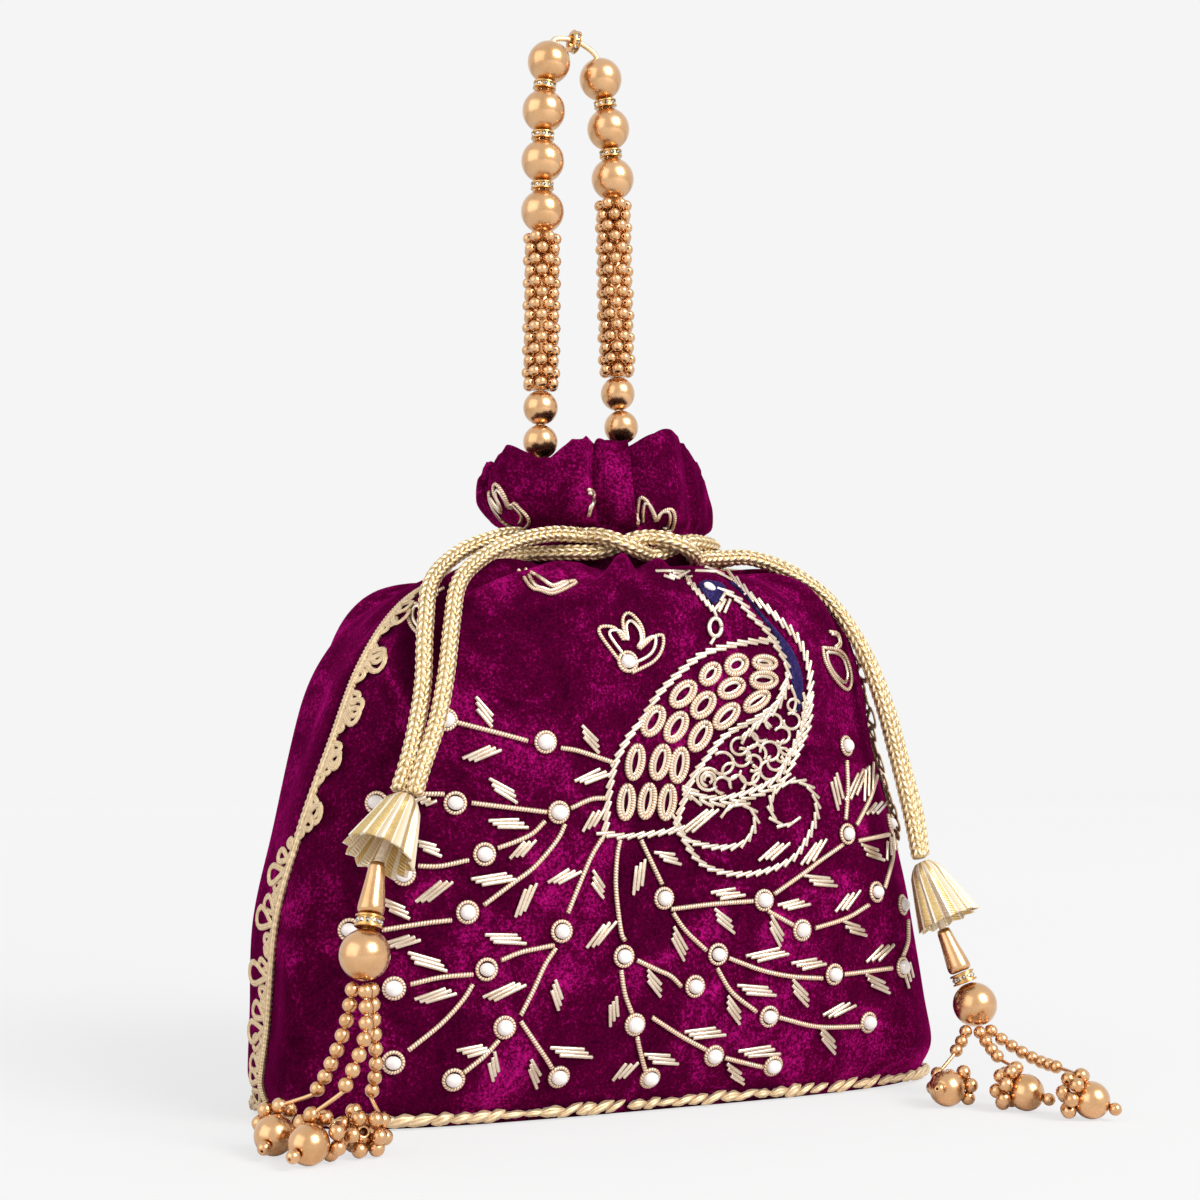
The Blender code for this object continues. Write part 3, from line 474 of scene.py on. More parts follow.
# the cone's cloth: across each pleat a white rib, gold lame, a white rib, then cream silk
coneLook = {"pleats": 12.0, "rib": (0.88, 0.80, 0.66), "secondRib": (0.90, 0.84, 0.74),
            "silk": (0.82, 0.63, 0.36), "lameDark": (0.44, 0.26, 0.06), "lameLight": (0.92, 0.72, 0.36),
            "lameFrom": 0.115, "lameTo": 0.565, "twill": 9000.0, "twillSlant": 0.02}


def coneSurface(look):
    # stripes by the share of a pleat; twill: a sine of the place along the cone plus a share of its turn
    s = Surface("pleatedLame")
    s.plain(Roughness=0.34)
    turn, run = s.pattern()
    across = s.maths("FRACT", s.times(turn, look["pleats"]))
    twill = s.maths("SINE", s.times(s.plus(run, s.times(turn, look["twillSlant"])), look["twill"]))
    lame = s.mixed(s.noise(1600, 2.0, 0.8), look["lameDark"], look["lameLight"])
    none = (0.0, 0.0, 0.0)
    stripes = s.ramp(across, [(0.0, look["rib"]), (1.0, look["rib"]), (0.10, look["rib"]), (0.13, none),
                              (0.55, none), (0.58, look["secondRib"]), (0.66, look["secondRib"]),
                              (0.70, look["silk"])])
    isLame = s.times(s.maths("GREATER_THAN", across, look["lameFrom"]),
                     s.maths("LESS_THAN", across, look["lameTo"]))
    s.into("Base Color", s.mixed(isLame, stripes, lame))
    s.into("Metallic", s.plus(s.times(isLame, 0.45), 0.4))
    s.bump(s.plus(twill, s.noise(2200, 1.0)), 0.35, 0.0001)
    return s.material


coneCloth = coneSurface(coneLook)
print("materials made")


# Drawcords
def braidedForm(route, towards):
    # radius = core + relief times (wave along the cord, shifted across each column) times the column's round
    path = smoothRoute(route, braid["step"])
    around = braid["columns"] * braid["perColumn"]
    column = np.arange(around) / braid["perColumn"]
    across = column % 1
    way = np.where(column.astype(int) % 2 == 0, 1.0, -1.0)
    along = np.arange(len(path))[:, None] * braid["step"] / braid["pitch"]
    leaf = 0.5 + 0.5 * np.cos(2 * np.pi * (along + (way * (across - 0.5) * braid["slant"])[None]))
    shape = np.sin(np.pi * (across * 0.92 + 0.04))[None] ** 0.6 * (0.35 + 0.65 * leaf ** 0.7)
    radius = braid["diameter"] / 2 * (1 - braid["relief"] + braid["relief"] * 1.25 * shape)
    taper = np.clip(np.minimum(np.arange(len(path)), np.arange(len(path))[::-1]) / 3 + 0.8, 0, 1)[:, None]
    return tubeForm(path, radius * taper, around, towards), path


# routes of the cords' free ends, in mm
cordRoutes = {
    "drawcord_left_front": [(-18.2, -18.6, 146.0), (-25.5, -17.4, 146.0), (-36.0, -18.5, 143.4),
                            (-46.5, -21.0, 138.5), (-55.0, -26.0, 131.5), (-59.5, -32.0, 121.0),
                            (-63.5, -38.0, 108.0), (-68.0, -43.0, 96.0), (-73.0, -46.5, 86.0),
                            (-76.0, -49.0, 79.6)],
    "drawcord_left_side": [(-30.1, -4.8, 146.0), (-31.2, -9.5, 146.2), (-38.5, -13.6, 145.0),
                           (-50.5, -16.5, 140.2), (-60.8, -22.3, 131.9), (-65.4, -29.4, 120.2),
                           (-68.2, -35.0, 106.0), (-72.0, -40.0, 95.0), (-75.5, -43.5, 86.5),
                           (-78.3, -45.2, 80.2)],
    "drawcord_right_front": [(17.9, -18.9, 141.6), (24.5, -17.6, 142.2), (34.0, -18.4, 142.6),
                             (44.0, -20.0, 139.5), (54.5, -24.0, 132.5), (62.0, -29.0, 120.0),
                             (66.5, -32.5, 105.0), (70.5, -34.5, 88.0), (72.8, -37.5, 72.0),
                             (73.0, -40.5, 61.6)],
    "drawcord_right_side": [(30.1, -4.6, 141.7), (31.4, -9.2, 142.6), (38.0, -13.0, 143.2),
                            (49.0, -16.0, 139.5), (59.0, -19.5, 131.5), (66.5, -24.5, 118.5),
                            (71.0, -28.5, 104.0), (74.5, -31.0, 88.0), (76.6, -34.5, 73.0),
                            (76.2, -37.4, 62.2)],
}
cordPieces, cordPaths = {}, {}
for node, route in cordRoutes.items():
    form, cordPaths[node] = braidedForm(np.array(route) * mm, (0, -1, 0))
    cordPieces[node] = putPiece(pieceName(node), form, braidGold, [node])

# angles between which each cord lies round the neck, and between which the two twist round each other
neckRings = {"neck_cord_left": (233.6, 550), "neck_cord_right": (-10.2, 306.4)}
neckTwist = {"start": 239, "stop": 301, "clear": 0.8}
ringHeights = {node: (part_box(node)[0].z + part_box(node)[1].z) / 2 for node in neckRings}
pairHeight = sum(ringHeights.values()) / 2
for node, (start, stop) in neckRings.items():
    low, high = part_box(node)
    degrees = np.linspace(start, stop, 121)
    half = (np.array(high - low) - braid["diameter"]) / 2
    # one full turn round the pair's middle line, pushed out so that the rear one clears the neck
    share = (degrees % 360 - neckTwist["start"]) / (neckTwist["stop"] - neckTwist["start"])
    twist = 2 * np.pi * np.clip(share, 0, 1)
    apart = ringHeights[node] - pairHeight
    outward = apart * np.sin(twist) + neckTwist["clear"] * abs(apart) * np.abs(np.sin(twist))
    a = np.radians(degrees)
    ring = np.stack([(half[0] + outward) * np.cos(a), (half[1] + outward) * np.sin(a),
                     pairHeight + apart * np.cos(twist)], -1)
    putPiece(pieceName(node), braidedForm(ring, (0, 0, 1))[0], braidGold, [node])
print("drawcords made")


# Beads
acrossThread = (0.31, 0.9, 0.29)   # a direction that no bead string follows


def beadForm(radius, bore, sides=28, arcs=16):
    # a ball's arc from one edge of its bore to the other, and back down the bore
    low = math.asin(bore / radius)
    a = np.linspace(low, math.pi - low, arcs)
    ball = np.stack([radius * np.sin(a), -radius * np.cos(a)], -1)
    edge = ball[-1, 1]
    hole = np.array([[bore * 0.86, edge - 0.04 * radius], [bore * 0.8, 0],
                     [bore * 0.86, 0.04 * radius - edge]])
    return turnedForm(np.concatenate([ball, hole]), sides, closed=True)


# one bead of radius 1 for all strings
smallBead = beadForm(1.0, 0.22, 14, 9)


def beadRow(places, diameter, way=None):
    # small beads at the places, bored along the row unless another way is given
    places = np.asarray(places, float)
    way = np.gradient(places, axis=0) if way is None else way
    sizes = np.full((len(places), 1), diameter / 2)
    return scatterForm(smallBead, places, framesAlong(way, acrossThread), sizes)


def stoneRing(radius, height, count, stoneSize):
    # two gold rims with a band of cut stones between them, each stone a faceted six-sided cone
    rim = np.array([[0.62, -1], [0.94, -1], [1, -0.86], [1, -0.62], [0.84, -0.55], [0.84, 0.55], [1, 0.62],
                    [1, 0.86], [0.94, 1], [0.62, 1]]) * (radius, height / 2)
    ring = turnedForm(rim, 36, closed=True)
    gem = turnedForm([(1.0, 0), (0.95, 0.2), (0.5, 0.62), (0.12, 0.66)], 6)
    a = np.arange(count) * 2 * np.pi / count
    way = np.stack([np.cos(a), np.sin(a), 0 * a], -1)
    gems = scatterForm(gem, way * radius * 0.81, framesAlong(way, (0, 0, 1)), np.full((count, 1), stoneSize))
    return ring, gems


def putStoneRing(node, stonesName, forms, place, way, body):
    # the rims and the stones are two pieces in the CAD node's place
    ring, gems = [setUp(form, place, way) for form in forms]
    return [putPiece(pieceName(node), ring, rimGold, [node], body, 40),
            putPiece(stonesName, gems, stone, [], body, 20)]


handleBeads = {"large": 0.0118, "medium": 0.0094, "bore": 0.0013, "rondelle": 0.0032,
               "rondelleLength": 0.0020, "stones": 10, "stoneSize": 0.00075}
wovenTube = {"bead": 0.0033, "ring": 0.00365, "around": 6, "pitch": 0.0031, "core": 0.0026, "inset": 0.0001}
leftLeg = ["medium_bead_left_1", "medium_bead_left_2", "woven_tube_left", "large_bead_1", "rondelle_left_1",
           "large_bead_2", "rondelle_left_2", "large_bead_3", "rondelle_left_3", "large_bead_4"]
rightLeg = ["medium_bead_right_1", "medium_bead_right_2", "woven_tube_right", "large_bead_5",
            "rondelle_right_1", "large_bead_6", "rondelle_right_2", "large_bead_7"]


def wovenForm(low, high):
    # rings of small beads, every second ring turned half a step, on a thin core tube
    length = np.linalg.norm(high - low)
    count = round(length / wovenTube["pitch"])
    way = (high - low) / length
    t = ((np.arange(count) + 0.5) / count)[:, None, None]
    turn = np.arange(wovenTube["around"])[None] + 0.5 * (np.arange(count) % 2)[:, None] + 0.1
    turn = 2 * np.pi * turn / wovenTube["around"]
    side, up, _ = framesAlong(way[None], (0, 1, 0))[0]
    out = np.cos(turn)[..., None] * side + np.sin(turn)[..., None] * up
    places = low + t * (high - low) + wovenTube["ring"] * out
    beads = scatterForm(beadForm(1.0, 0.2, 12, 8), places.reshape(-1, 3),
                        framesAlong(np.cross(out, way).reshape(-1, 3), (0.1, 0.2, 0.97)),
                        np.full((places.size // 3, 1), wovenTube["bead"] / 2))
    core = tubeForm(np.stack([low, (low + high) / 2, high]), wovenTube["core"], 16, (0, 1, 0))
    return joinForms([beads, core])


rondelle = stoneRing(handleBeads["rondelle"], handleBeads["rondelleLength"], handleBeads["stones"],
                     handleBeads["stoneSize"])
for leg in (leftLeg, rightLeg):
    centres = [middleOf(node) for node in leg]
    ways = np.gradient(np.array(centres), axis=0)
    for node, place, way in zip(leg, centres, unit(ways)):
        kind = node.split("_")[0]
        if kind == "woven":
            low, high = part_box(node)
            lean = (centres[3] - centres[1]) / (centres[3] - centres[1])[2]
            half = lean * ((high.z - low.z) / 2 - wovenTube["inset"])
            tube = wovenForm(place - half, place + half)
            putPiece(pieceName(node), tube, beadGold, [node], "handle")
        elif kind == "rondelle":
            putStoneRing(node, pieceName(node) + "Stones", rondelle, place, way, "handle")
        else:
            bead = setUp(beadForm(handleBeads[kind] / 2, handleBeads["bore"], 40, 26), place, way)
            putPiece(pieceName(node), bead, beadGold, [node], "handle")

crown = middleOf("rondelle_top")
crownWay = along(middleOf("large_bead_4"), middleOf("large_bead_7"))
putStoneRing("rondelle_top", "rondelleTopStones", rondelle, crown, crownWay, "handle")

# the handle's wire runs from a knot on one tab, through every bead, to a knot on the other
wire = {"radius": 0.0008, "knot": 0.0012, "knotLength": 0.0020, "knotHeight": 0.162, "knotStand": 0.0003,
        "belowLeft": (-0.0004, 0, -0.0066), "belowRight": (0.0010, 0, -0.0066), "pastBead": 0.0063,
        "crown": 0.0028, "step": 0.0006}
straight = np.array([wire["knotLength"], 0, 0])
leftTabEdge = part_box("handle_tab_left")[1].x + wire["knotStand"]
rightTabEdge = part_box("handle_tab_right")[0].x - wire["knotStand"]
leftKnot = middleOf("handle_tab_left") * (0, 1, 0) + (leftTabEdge, 0, wire["knotHeight"])
rightKnot = middleOf("handle_tab_right") * (0, 1, 0) + (rightTabEdge, 0, wire["knotHeight"])
leftPoints = [middleOf(node) for node in leftLeg]
rightPoints = [middleOf(node) for node in rightLeg][::-1]
belowLeft, belowRight = leftPoints[0] + wire["belowLeft"], rightPoints[-1] + wire["belowRight"]
crownStep = crownWay * wire["crown"]
topLeft = leftPoints[-1] + along(leftPoints[-2], leftPoints[-1]) * wire["pastBead"]
topRight = rightPoints[0] + along(rightPoints[1], rightPoints[0]) * wire["pastBead"]
wireLine = smoothRoute([leftKnot, leftKnot + straight, belowLeft, *leftPoints, topLeft, crown - crownStep,
                        crown, crown + crownStep, topRight, *rightPoints, belowRight, rightKnot - straight,
                        rightKnot], wire["step"])
wireEnds = np.minimum(np.arange(len(wireLine)), np.arange(len(wireLine))[::-1]) * wire["step"]
wireSwell = np.where(wireEnds < wire["knotLength"], wire["knot"], wire["radius"])
putPiece("handleWire", tubeForm(wireLine, wireSwell, 8, (0, 1, 0)), wireGold, ["handle_wire"],
         "handle")
print("handle made")


# Tassels: top and direction of each cone and drop, routes of the bead strands, and their end balls with
# place, direction and beads on each side; places in mm
tassels = {
    "left": {"coneTop": (-77.2, -47.3, 78.7), "coneWay": (-10.0, -6.6, -14.2),
             "dropTop": (-86.6, -53.6, 64.5), "dropWay": (-3.0, -3.0, -13.0),
             "strands": [[(-93.3, -57.4, 38.7), (-95.0, -57.4, 30.1), (-96.7, -56.4, 24.0),
                          (-98.8, -53.5, 17.2), (-101.0, -50.6, 12.5)],
                         [(-91.7, -60.0, 38.2), (-92.4, -62.6, 29.3), (-94.0, -63.0, 23.6),
                          (-97.5, -62.0, 15.5)],
                         [(-89.6, -58.3, 38.7), (-88.0, -56.7, 25.8), (-87.2, -55.4, 19.1),
                          (-87.2, -52.5, 12.5)]],
             "ends": [((-107.5, -46.4, 4.8), (-0.6, -0.7, -0.3), 4),
                      ((-104.4, -60.5, 4.8), (-0.7, -0.5, -0.25), 3),
                      ((-90.0, -52.6, 4.8), (0.1, 0.9, -0.2), 4)]},
    "right": {"coneTop": (74.6, -39.5, 60.4), "coneWay": (3.3, -6.2, -13.8),
              "dropTop": (76.6, -45.4, 43.2), "dropWay": (2.6, -3.6, -10.2),
              "strands": [[(78.4, -53.2, 18.6), (75.0, -54.8, 15.0), (71.2, -56.4, 12.0)],
                          [(80.5, -54.3, 18.3), (80.0, -60.2, 13.8), (79.2, -65.2, 11.4)],
                          [(83.0, -54.5, 18.7), (85.8, -60.2, 14.4), (87.6, -69.6, 11.2),
                           (86.5, -79.5, 10.6)]],
              "ends": [((64.6, -62.1, 4.8), (-0.75, -0.5, 0.1), 5),
                       ((78.0, -76.7, 4.8), (0.5, -0.8, -0.2), 5),
                       ((84.6, -93.2, 4.8), (0.6, -0.7, -0.3), 6)]},
}
tasselSizes = {"coneLength": 0.0170, "coneTop": 0.0036, "coneHem": 0.0088, "coneWall": 0.0006, "pleats": 12,
               "pleatDepth": 0.15, "ceiling": 0.0015, "dropLength": 0.0120, "dropThread": 0.0009,
               "spacer": 0.0033, "spacerLength": 0.0028, "stones": 12, "stoneSize": 0.0007, "ball": 0.0115,
               "bore": 0.0010, "smallBead": 0.0037, "strandBead": 0.0034, "strandThread": 0.0005,
               "endBall": 0.0091, "tipBead": 0.0032, "gap": 0.0003, "frontRing": (-0.62, 0.785),
               "backRing": (-1.02, 0.50)}
# radius and length of the drop bead's turned profile
dropProfile = [(0.0010, 0), (0.0016, 0.0002), (0.0019, 0.0012), (0.0022, 0.0040), (0.0027, 0.0075),
               (0.00305, 0.0100), (0.0031, 0.0108), (0.0029, 0.0116), (0.0022, 0.0120), (0.0012, 0.0119)]


def coneForm(sizes):
    # radius from top to hem, times a sawtooth of flat pleats; the wall turns in at the hem and top
    perPleat, rows = 10, 18
    turn = np.arange(sizes["pleats"] * perPleat) / perPleat
    across = turn % 1
    pleat = 1 - sizes["pleatDepth"] * np.where(across < 0.62, across / 0.62, (1 - across) / 0.38)
    t = np.linspace(0, 1, rows)[:, None]
    reach = sizes["coneTop"] + (sizes["coneHem"] - sizes["coneTop"]) * t ** 0.92
    reach = reach * (0.62 + 0.38 * np.clip(t / 0.16, 0, 1) ** 0.6)
    radius = (reach * (1 - (1 - pleat)[None] * np.clip(t * 2.5, 0.25, 1)))[..., None]
    a = turn * 2 * np.pi / sizes["pleats"]
    ring = np.stack([np.cos(a), np.sin(a), 0 * a], -1)
    down = -upright
    hemDip = 1 + 0.035 * (pleat[None] - 1) / sizes["pleatDepth"] * (t > 0.99)
    drop = (t * hemDip * sizes["coneLength"])[..., None]
    outer = radius * ring[None] + drop * down
    inner = (radius - sizes["coneWall"]) * ring[None] + np.maximum(drop, 0.0008) * down
    points = np.concatenate([inner[:1] * (0.02, 0.02, 1), inner, outer[::-1], outer[:1] * (0.02, 0.02, 1)])
    return gridForm(points, closedColumns=True, capStart=True, capEnd=True, reach=sizes["coneLength"] * 2)


def flowerPlaces(hub, nose, start, petals, sizes):
    # two rings of small beads round the back of an end ball, none of them below the floor
    u = start - hub
    u = unit(u - nose * (u @ nose))
    w = np.cross(nose, u)
    reach = sizes["endBall"] / 2 + sizes["smallBead"] / 2
    lowest = sizes["smallBead"] / 2 + sizes["gap"]
    turn = 2 * math.asin(sizes["smallBead"] / 2 / (sizes["frontRing"][1] * reach))
    a = np.concatenate([np.arange(1, petals + 1), -np.arange(1, petals + 1)]) * turn
    b = np.arange(5) * 2 * np.pi / 5 + 0.4
    rings = [back * nose + wide * (np.cos(angle)[:, None] * u + np.sin(angle)[:, None] * w)
             for angle, (back, wide) in ((a, sizes["frontRing"]), (b, sizes["backRing"]))]
    places = hub + np.concatenate(rings) * reach
    flat = unit((places - hub) * (1, 1, 0))
    low = hub + flat * math.sqrt(reach**2 - (hub[2] - lowest)**2)
    low[:, 2] = lowest
    places = np.where(places[:, 2:] < lowest, low, places)
    apart = np.linalg.norm(places[:, None] - places[None], axis=-1) + np.eye(len(places))
    clash = np.tril(apart < sizes["smallBead"] * 0.8, -1).any(axis=1)
    return places[~clash]


spacer = stoneRing(tasselSizes["spacer"], tasselSizes["spacerLength"], tasselSizes["stones"],
                   tasselSizes["stoneSize"])
pieceOnCord = {"left": [], "right": []}
for side, facts in tassels.items():
    sizes, title, hung = tasselSizes, side.capitalize(), pieceOnCord[side]
    coneTop, dropTop = np.array(facts["coneTop"]) * mm, np.array(facts["dropTop"]) * mm
    coneWay, dropWay = unit(np.array(facts["coneWay"], float)), unit(np.array(facts["dropWay"], float))
    hung.append(putPiece("tasselCone" + title, setUp(coneForm(sizes), coneTop, -coneWay), coneCloth,
                         ["tassel_cone_" + side], sharp=35))
    # the drop bead, with its thread from the cone's ceiling
    drop = turnedRound(setUp(turnedForm(np.array(dropProfile) * (1, -1), 32), dropTop, -dropWay))
    hung.append(putPiece("dropBead" + title, drop, beadGold, ["drop_bead_" + side]))
    ceiling = coneTop + coneWay * sizes["ceiling"]
    stem = smoothRoute([ceiling, (ceiling + dropTop) / 2, dropTop, dropTop + dropWay * 0.0012], 0.0008)
    hung.append(putPiece("dropThread" + title, tubeForm(stem, sizes["dropThread"], 8, (0, 1, 0)),
                         cottonThread))
    seat = dropTop + dropWay * (sizes["dropLength"] + sizes["gap"])
    middle = seat + dropWay * sizes["spacerLength"] / 2
    hung += putStoneRing("tassel_spacer_" + side, "tasselSpacerStones" + title, spacer, middle, dropWay,
                         "bag")
    centre = seat + dropWay * (sizes["spacerLength"] + sizes["gap"] + sizes["ball"] / 2 * 0.993)
    ball = setUp(beadForm(sizes["ball"] / 2, sizes["bore"], 40, 26), centre, dropWay)
    hung.append(putPiece("tasselBall" + title, ball, beadGold, ["tassel_ball_" + side]))
    for number, (route, (place, nose, petals)) in enumerate(zip(facts["strands"], facts["ends"]), 1):
        hub, nose = np.array(place) * mm, unit(np.array(nose, float))
        path = np.array(route) * mm
        path[0] = centre + unit(path[0] - centre) * (sizes["ball"] / 2 + 2 * sizes["gap"])
        count = round(np.linalg.norm(np.diff(path, axis=0), axis=1).sum() / sizes["strandBead"])
        line = smoothRoute(path, sizes["strandBead"] / 2)[:2 * count + 1]
        flower = flowerPlaces(hub, nose, line[-1], petals, sizes)
        thread = smoothRoute(np.concatenate([line, flower[:1]]), 0.0012)
        strand = joinForms([beadRow(line[1::2], sizes["strandBead"]),
                            beadRow(flower, sizes["smallBead"], np.cross(flower - hub, nose)),
                            tubeForm(thread, sizes["strandThread"], 6, acrossThread)])
        putPiece(f"beadStrand{title}{number}", strand, beadGold,
                 [f"bead_strand_{side}_{number}"])
        tip = hub + nose * (sizes["endBall"] / 2 + sizes["tipBead"] / 2 - 0.0002)
        end = joinForms([setUp(beadForm(sizes["endBall"] / 2, sizes["bore"], 36, 24), hub, nose),
                         setUp(beadForm(sizes["tipBead"] / 2, 0.0004, 18, 12), tip, nose)])
        putPiece(f"endBall{title}{number}", end, beadGold, [f"end_ball_{side}_{number}"])
for node, path in cordPaths.items():
    side = "left" if "left" in node else "right"
    length = float(np.linalg.norm(np.diff(path, axis=0), axis=1).sum())
print("tassels made")


# Velvet bag: the wall is a superellipse at each row, pushed out by the folds; row and angle give a point
bag = {"bodyHalfWidth": 0.0957, "frontDepth": 0.0412, "backDepth": 0.0436, "neckHeight": 0.1390,
       "neckHalfWidth": 0.0275, "neckHalfDepth": 0.0200, "ruffleHeight": 0.0220, "ruffleHalfWidth": 0.0325,
       "ruffleHalfDepth": 0.0260, "hemHalfWidth": 0.0290, "hemHalfDepth": 0.0235, "hemRise": 0.0045,
       "bodyLean": 0.0034, "ruffleLean": 0.0040, "foldDepth": 0.0026, "baseThickness": 0.0020,
       "seamGap": 0.0003, "neckBand": 0.0093, "cloth": 0.0012}
# height, width, depth, squareness, lean, fold and seam turn of each row from base to neck
bodyRows = np.array([
    (0.000, 0.957, 0.545, 3.4, 0.0, 0.0, 2), (0.058, 1.000, 0.727, 3.4, 0.0, 0.0, 2),
    (0.158, 0.981, 0.864, 3.2, 0.4, 0.0, 5), (0.324, 0.950, 0.955, 3.0, 0.9, 0.0, 12),
    (0.504, 0.872, 0.977, 2.8, 1.0, 0.0, 18), (0.662, 0.789, 1.000, 2.7, 1.0, 0.1, 20),
    (0.777, 0.726, 1.000, 2.6, 0.9, 0.3, 19), (0.878, 0.620, 0.930, 2.5, 0.6, 0.6, 18),
    (0.945, 0.478, 0.820, 2.4, 0.3, 0.8, 16), (0.980, 0.300, 0.640, 2.3, 0.1, 0.7, 14),
    (0.995, 0.120, 0.350, 2.2, 0.0, 0.4, 12), (1.000, 0.000, 0.000, 2.0, 0.0, 0.2, 10)])
# height, swell, lean and fold of the ruffle's rows; a swell below 0 is the hem
ruffleRows = np.array([(0.00, 0.00, 0.0, 0.2), (0.14, 0.60, 0.4, 0.6), (0.42, 1.00, 0.9, 1.0),
                       (0.75, 0.90, 1.0, 1.0), (1.00, -1.0, 1.0, 0.9)])
foldValleys = np.array([12.0, 52, 92, 132, 172, 241, 261, 308])
neckRow, lastRow = len(bodyRows), len(bodyRows) + len(ruffleRows) - 1


def rowTable():
    # each row's height, half width, front and back depth, squareness, lean, fold and seam turn
    b, r = bodyRows.T, ruffleRows.T
    seat = bag["baseThickness"] + bag["seamGap"]
    body = [seat + b[0] * (bag["neckHeight"] - seat),
            bag["neckHalfWidth"] + b[1] * (bag["bodyHalfWidth"] - bag["neckHalfWidth"]),
            bag["neckHalfDepth"] + b[2] * (bag["frontDepth"] - bag["neckHalfDepth"]),
            bag["neckHalfDepth"] + b[2] * (bag["backDepth"] - bag["neckHalfDepth"]),
            b[3], -b[4] * bag["bodyLean"], b[5] * bag["foldDepth"], b[6]]
    hem = r[1] < 0
    halfWidth = bag["neckHalfWidth"] + r[1] * (bag["ruffleHalfWidth"] - bag["neckHalfWidth"])
    halfDepth = bag["neckHalfDepth"] + r[1] * (bag["ruffleHalfDepth"] - bag["neckHalfDepth"])
    halfWidth = np.where(hem, bag["hemHalfWidth"], halfWidth)
    halfDepth = np.where(hem, bag["hemHalfDepth"], halfDepth)
    height = bag["neckHeight"] + bag["neckBand"] + r[0] * bag["ruffleHeight"]
    ruffle = [height, halfWidth, halfDepth, halfDepth, 0 * r[0] + 2.0, -r[2] * bag["ruffleLean"],
              r[3] * bag["foldDepth"], 0 * r[0] + 10]
    return np.array([np.concatenate(pair) for pair in zip(body, ruffle)])


wallRows = rowTable()


def ease(values, at):
    # monotone cubic through values at 0, 1, 2 and so on
    step = np.diff(values)
    slope = np.zeros_like(values)
    same = step[:-1] * step[1:] > 0
    slope[1:-1][same] = 2 * step[:-1][same] * step[1:][same] / (step[:-1] + step[1:])[same]
    slope[0], slope[-1] = step[0], step[-1]
    at = np.asarray(at, float)
    i = np.clip(at.astype(int), 0, len(values) - 2)
    t = at - i
    return ((2 * t**3 - 3 * t**2 + 1) * values[i] + (t**3 - 2 * t**2 + t) * slope[i]
            + (3 * t**2 - 2 * t**3) * values[i + 1] + (t**3 - t**2) * slope[i + 1])


def lobe(angle):
    # 0 in each valley between two folds and 1 on the fold's crest
    valleys = np.append(foldValleys, foldValleys[0] + 360)
    a = (np.asarray(angle, float) - valleys[0]) % 360 + valleys[0]
    i = np.clip(np.searchsorted(valleys, a, side="right") - 1, 0, len(valleys) - 2)
    width = valleys[i + 1] - valleys[i]
    return np.clip(width / 40, 0, 1) * (1 - np.cos(2 * np.pi * (a - valleys[i]) / width)) / 2


def plainWall(row, angle):
    # superellipse of each row: half width times cosine and depth times sine, over the reach's root,
    # pushed out by the fold times the lobe
    z, halfWidth, front, back, square, lean, fold, _ = [ease(column, row) for column in wallRows]
    c, s = np.cos(np.radians(angle)), np.sin(np.radians(angle))
    reach = (np.abs(c)**square + np.abs(s)**square)**(-1 / square)
    depth = np.where(s < 0, front, back)
    flat = np.hypot(c / halfWidth, s / depth)
    push = fold * (lobe(angle) - 0.5)
    x = lean + halfWidth * c * reach + push * c / halfWidth / flat
    y = depth * s * reach + push * s / depth / flat
    above = np.clip((row - neckRow - 1) / (lastRow - neckRow - 1), 0, 1)
    z = z + above * bag["hemRise"] * (lobe(angle) - 0.4 + 0.3 * np.cos(np.radians(angle - 300)))
    return np.stack(np.broadcast_arrays(x, y, z), -1)


def outwardOf(wall, row, angle):
    # unit cross product of a small step across the wall and a small step up it
    across = wall(row, angle + 0.4) - wall(row, angle - 0.4)
    upward = wall(np.minimum(row + 0.02, lastRow), angle) - wall(np.maximum(row - 0.02, 0), angle)
    return unit(np.cross(across, upward))


def step(low, high, value):
    # 0 below low, 1 above high, and 3 t squared minus 2 t cubed between
    t = np.clip((value - low) / (high - low), 0, 1)
    return t * t * (3 - 2 * t)


# waves of cloth: how many, their turns round the bag, their drift up it, and how far they push; then the
# ruffle's valleys, the seam under its hem, and the shoulders: angle and share of the pull, depth and spread
clothWaves = {"dents": {"count": 9, "turns": (2, 7), "drift": (0.5, 1.4), "push": 0.0011},
              "gathers": {"count": 8, "turns": (15, 27), "drift": (0.1, 0.6), "push": 0.0013},
              "creases": {"count": 7, "turns": (9, 16), "drift": (0.8, 2.2), "push": 0.0006},
              "valleyDepth": 0.0016, "inward": 0.0006, "seamRow": 15.35, "seamDepth": 0.0004,
              "hemRoll": 0.0003, "shoulders": ((155, 1.0), (326, -0.6)), "shoulderDepth": 0.0024,
              "shoulderSpread": (8, 36)}
random = np.random.default_rng(11)
for waves in [clothWaves["dents"], clothWaves["gathers"], clothWaves["creases"]]:
    n = waves["count"]
    waves["turn"] = random.integers(waves["turns"][0], waves["turns"][1] + 1, n)
    waves["climb"] = random.uniform(*waves["drift"], n) * random.choice([-1, 1], n)
    waves["phase"] = random.uniform(0, 2 * np.pi, n)
    waves["height"] = random.uniform(0.5, 1.0, n) * waves["push"] / math.sqrt(n) * 1.6


def waved(waves, row, angle):
    # sum of cosines of turns times angle plus climb times row
    a, r = np.broadcast_arrays(np.radians(angle), row)
    at = a[..., None] * waves["turn"] + r[..., None] * waves["climb"] + waves["phase"]
    return (np.cos(at) * waves["height"]).sum(-1)


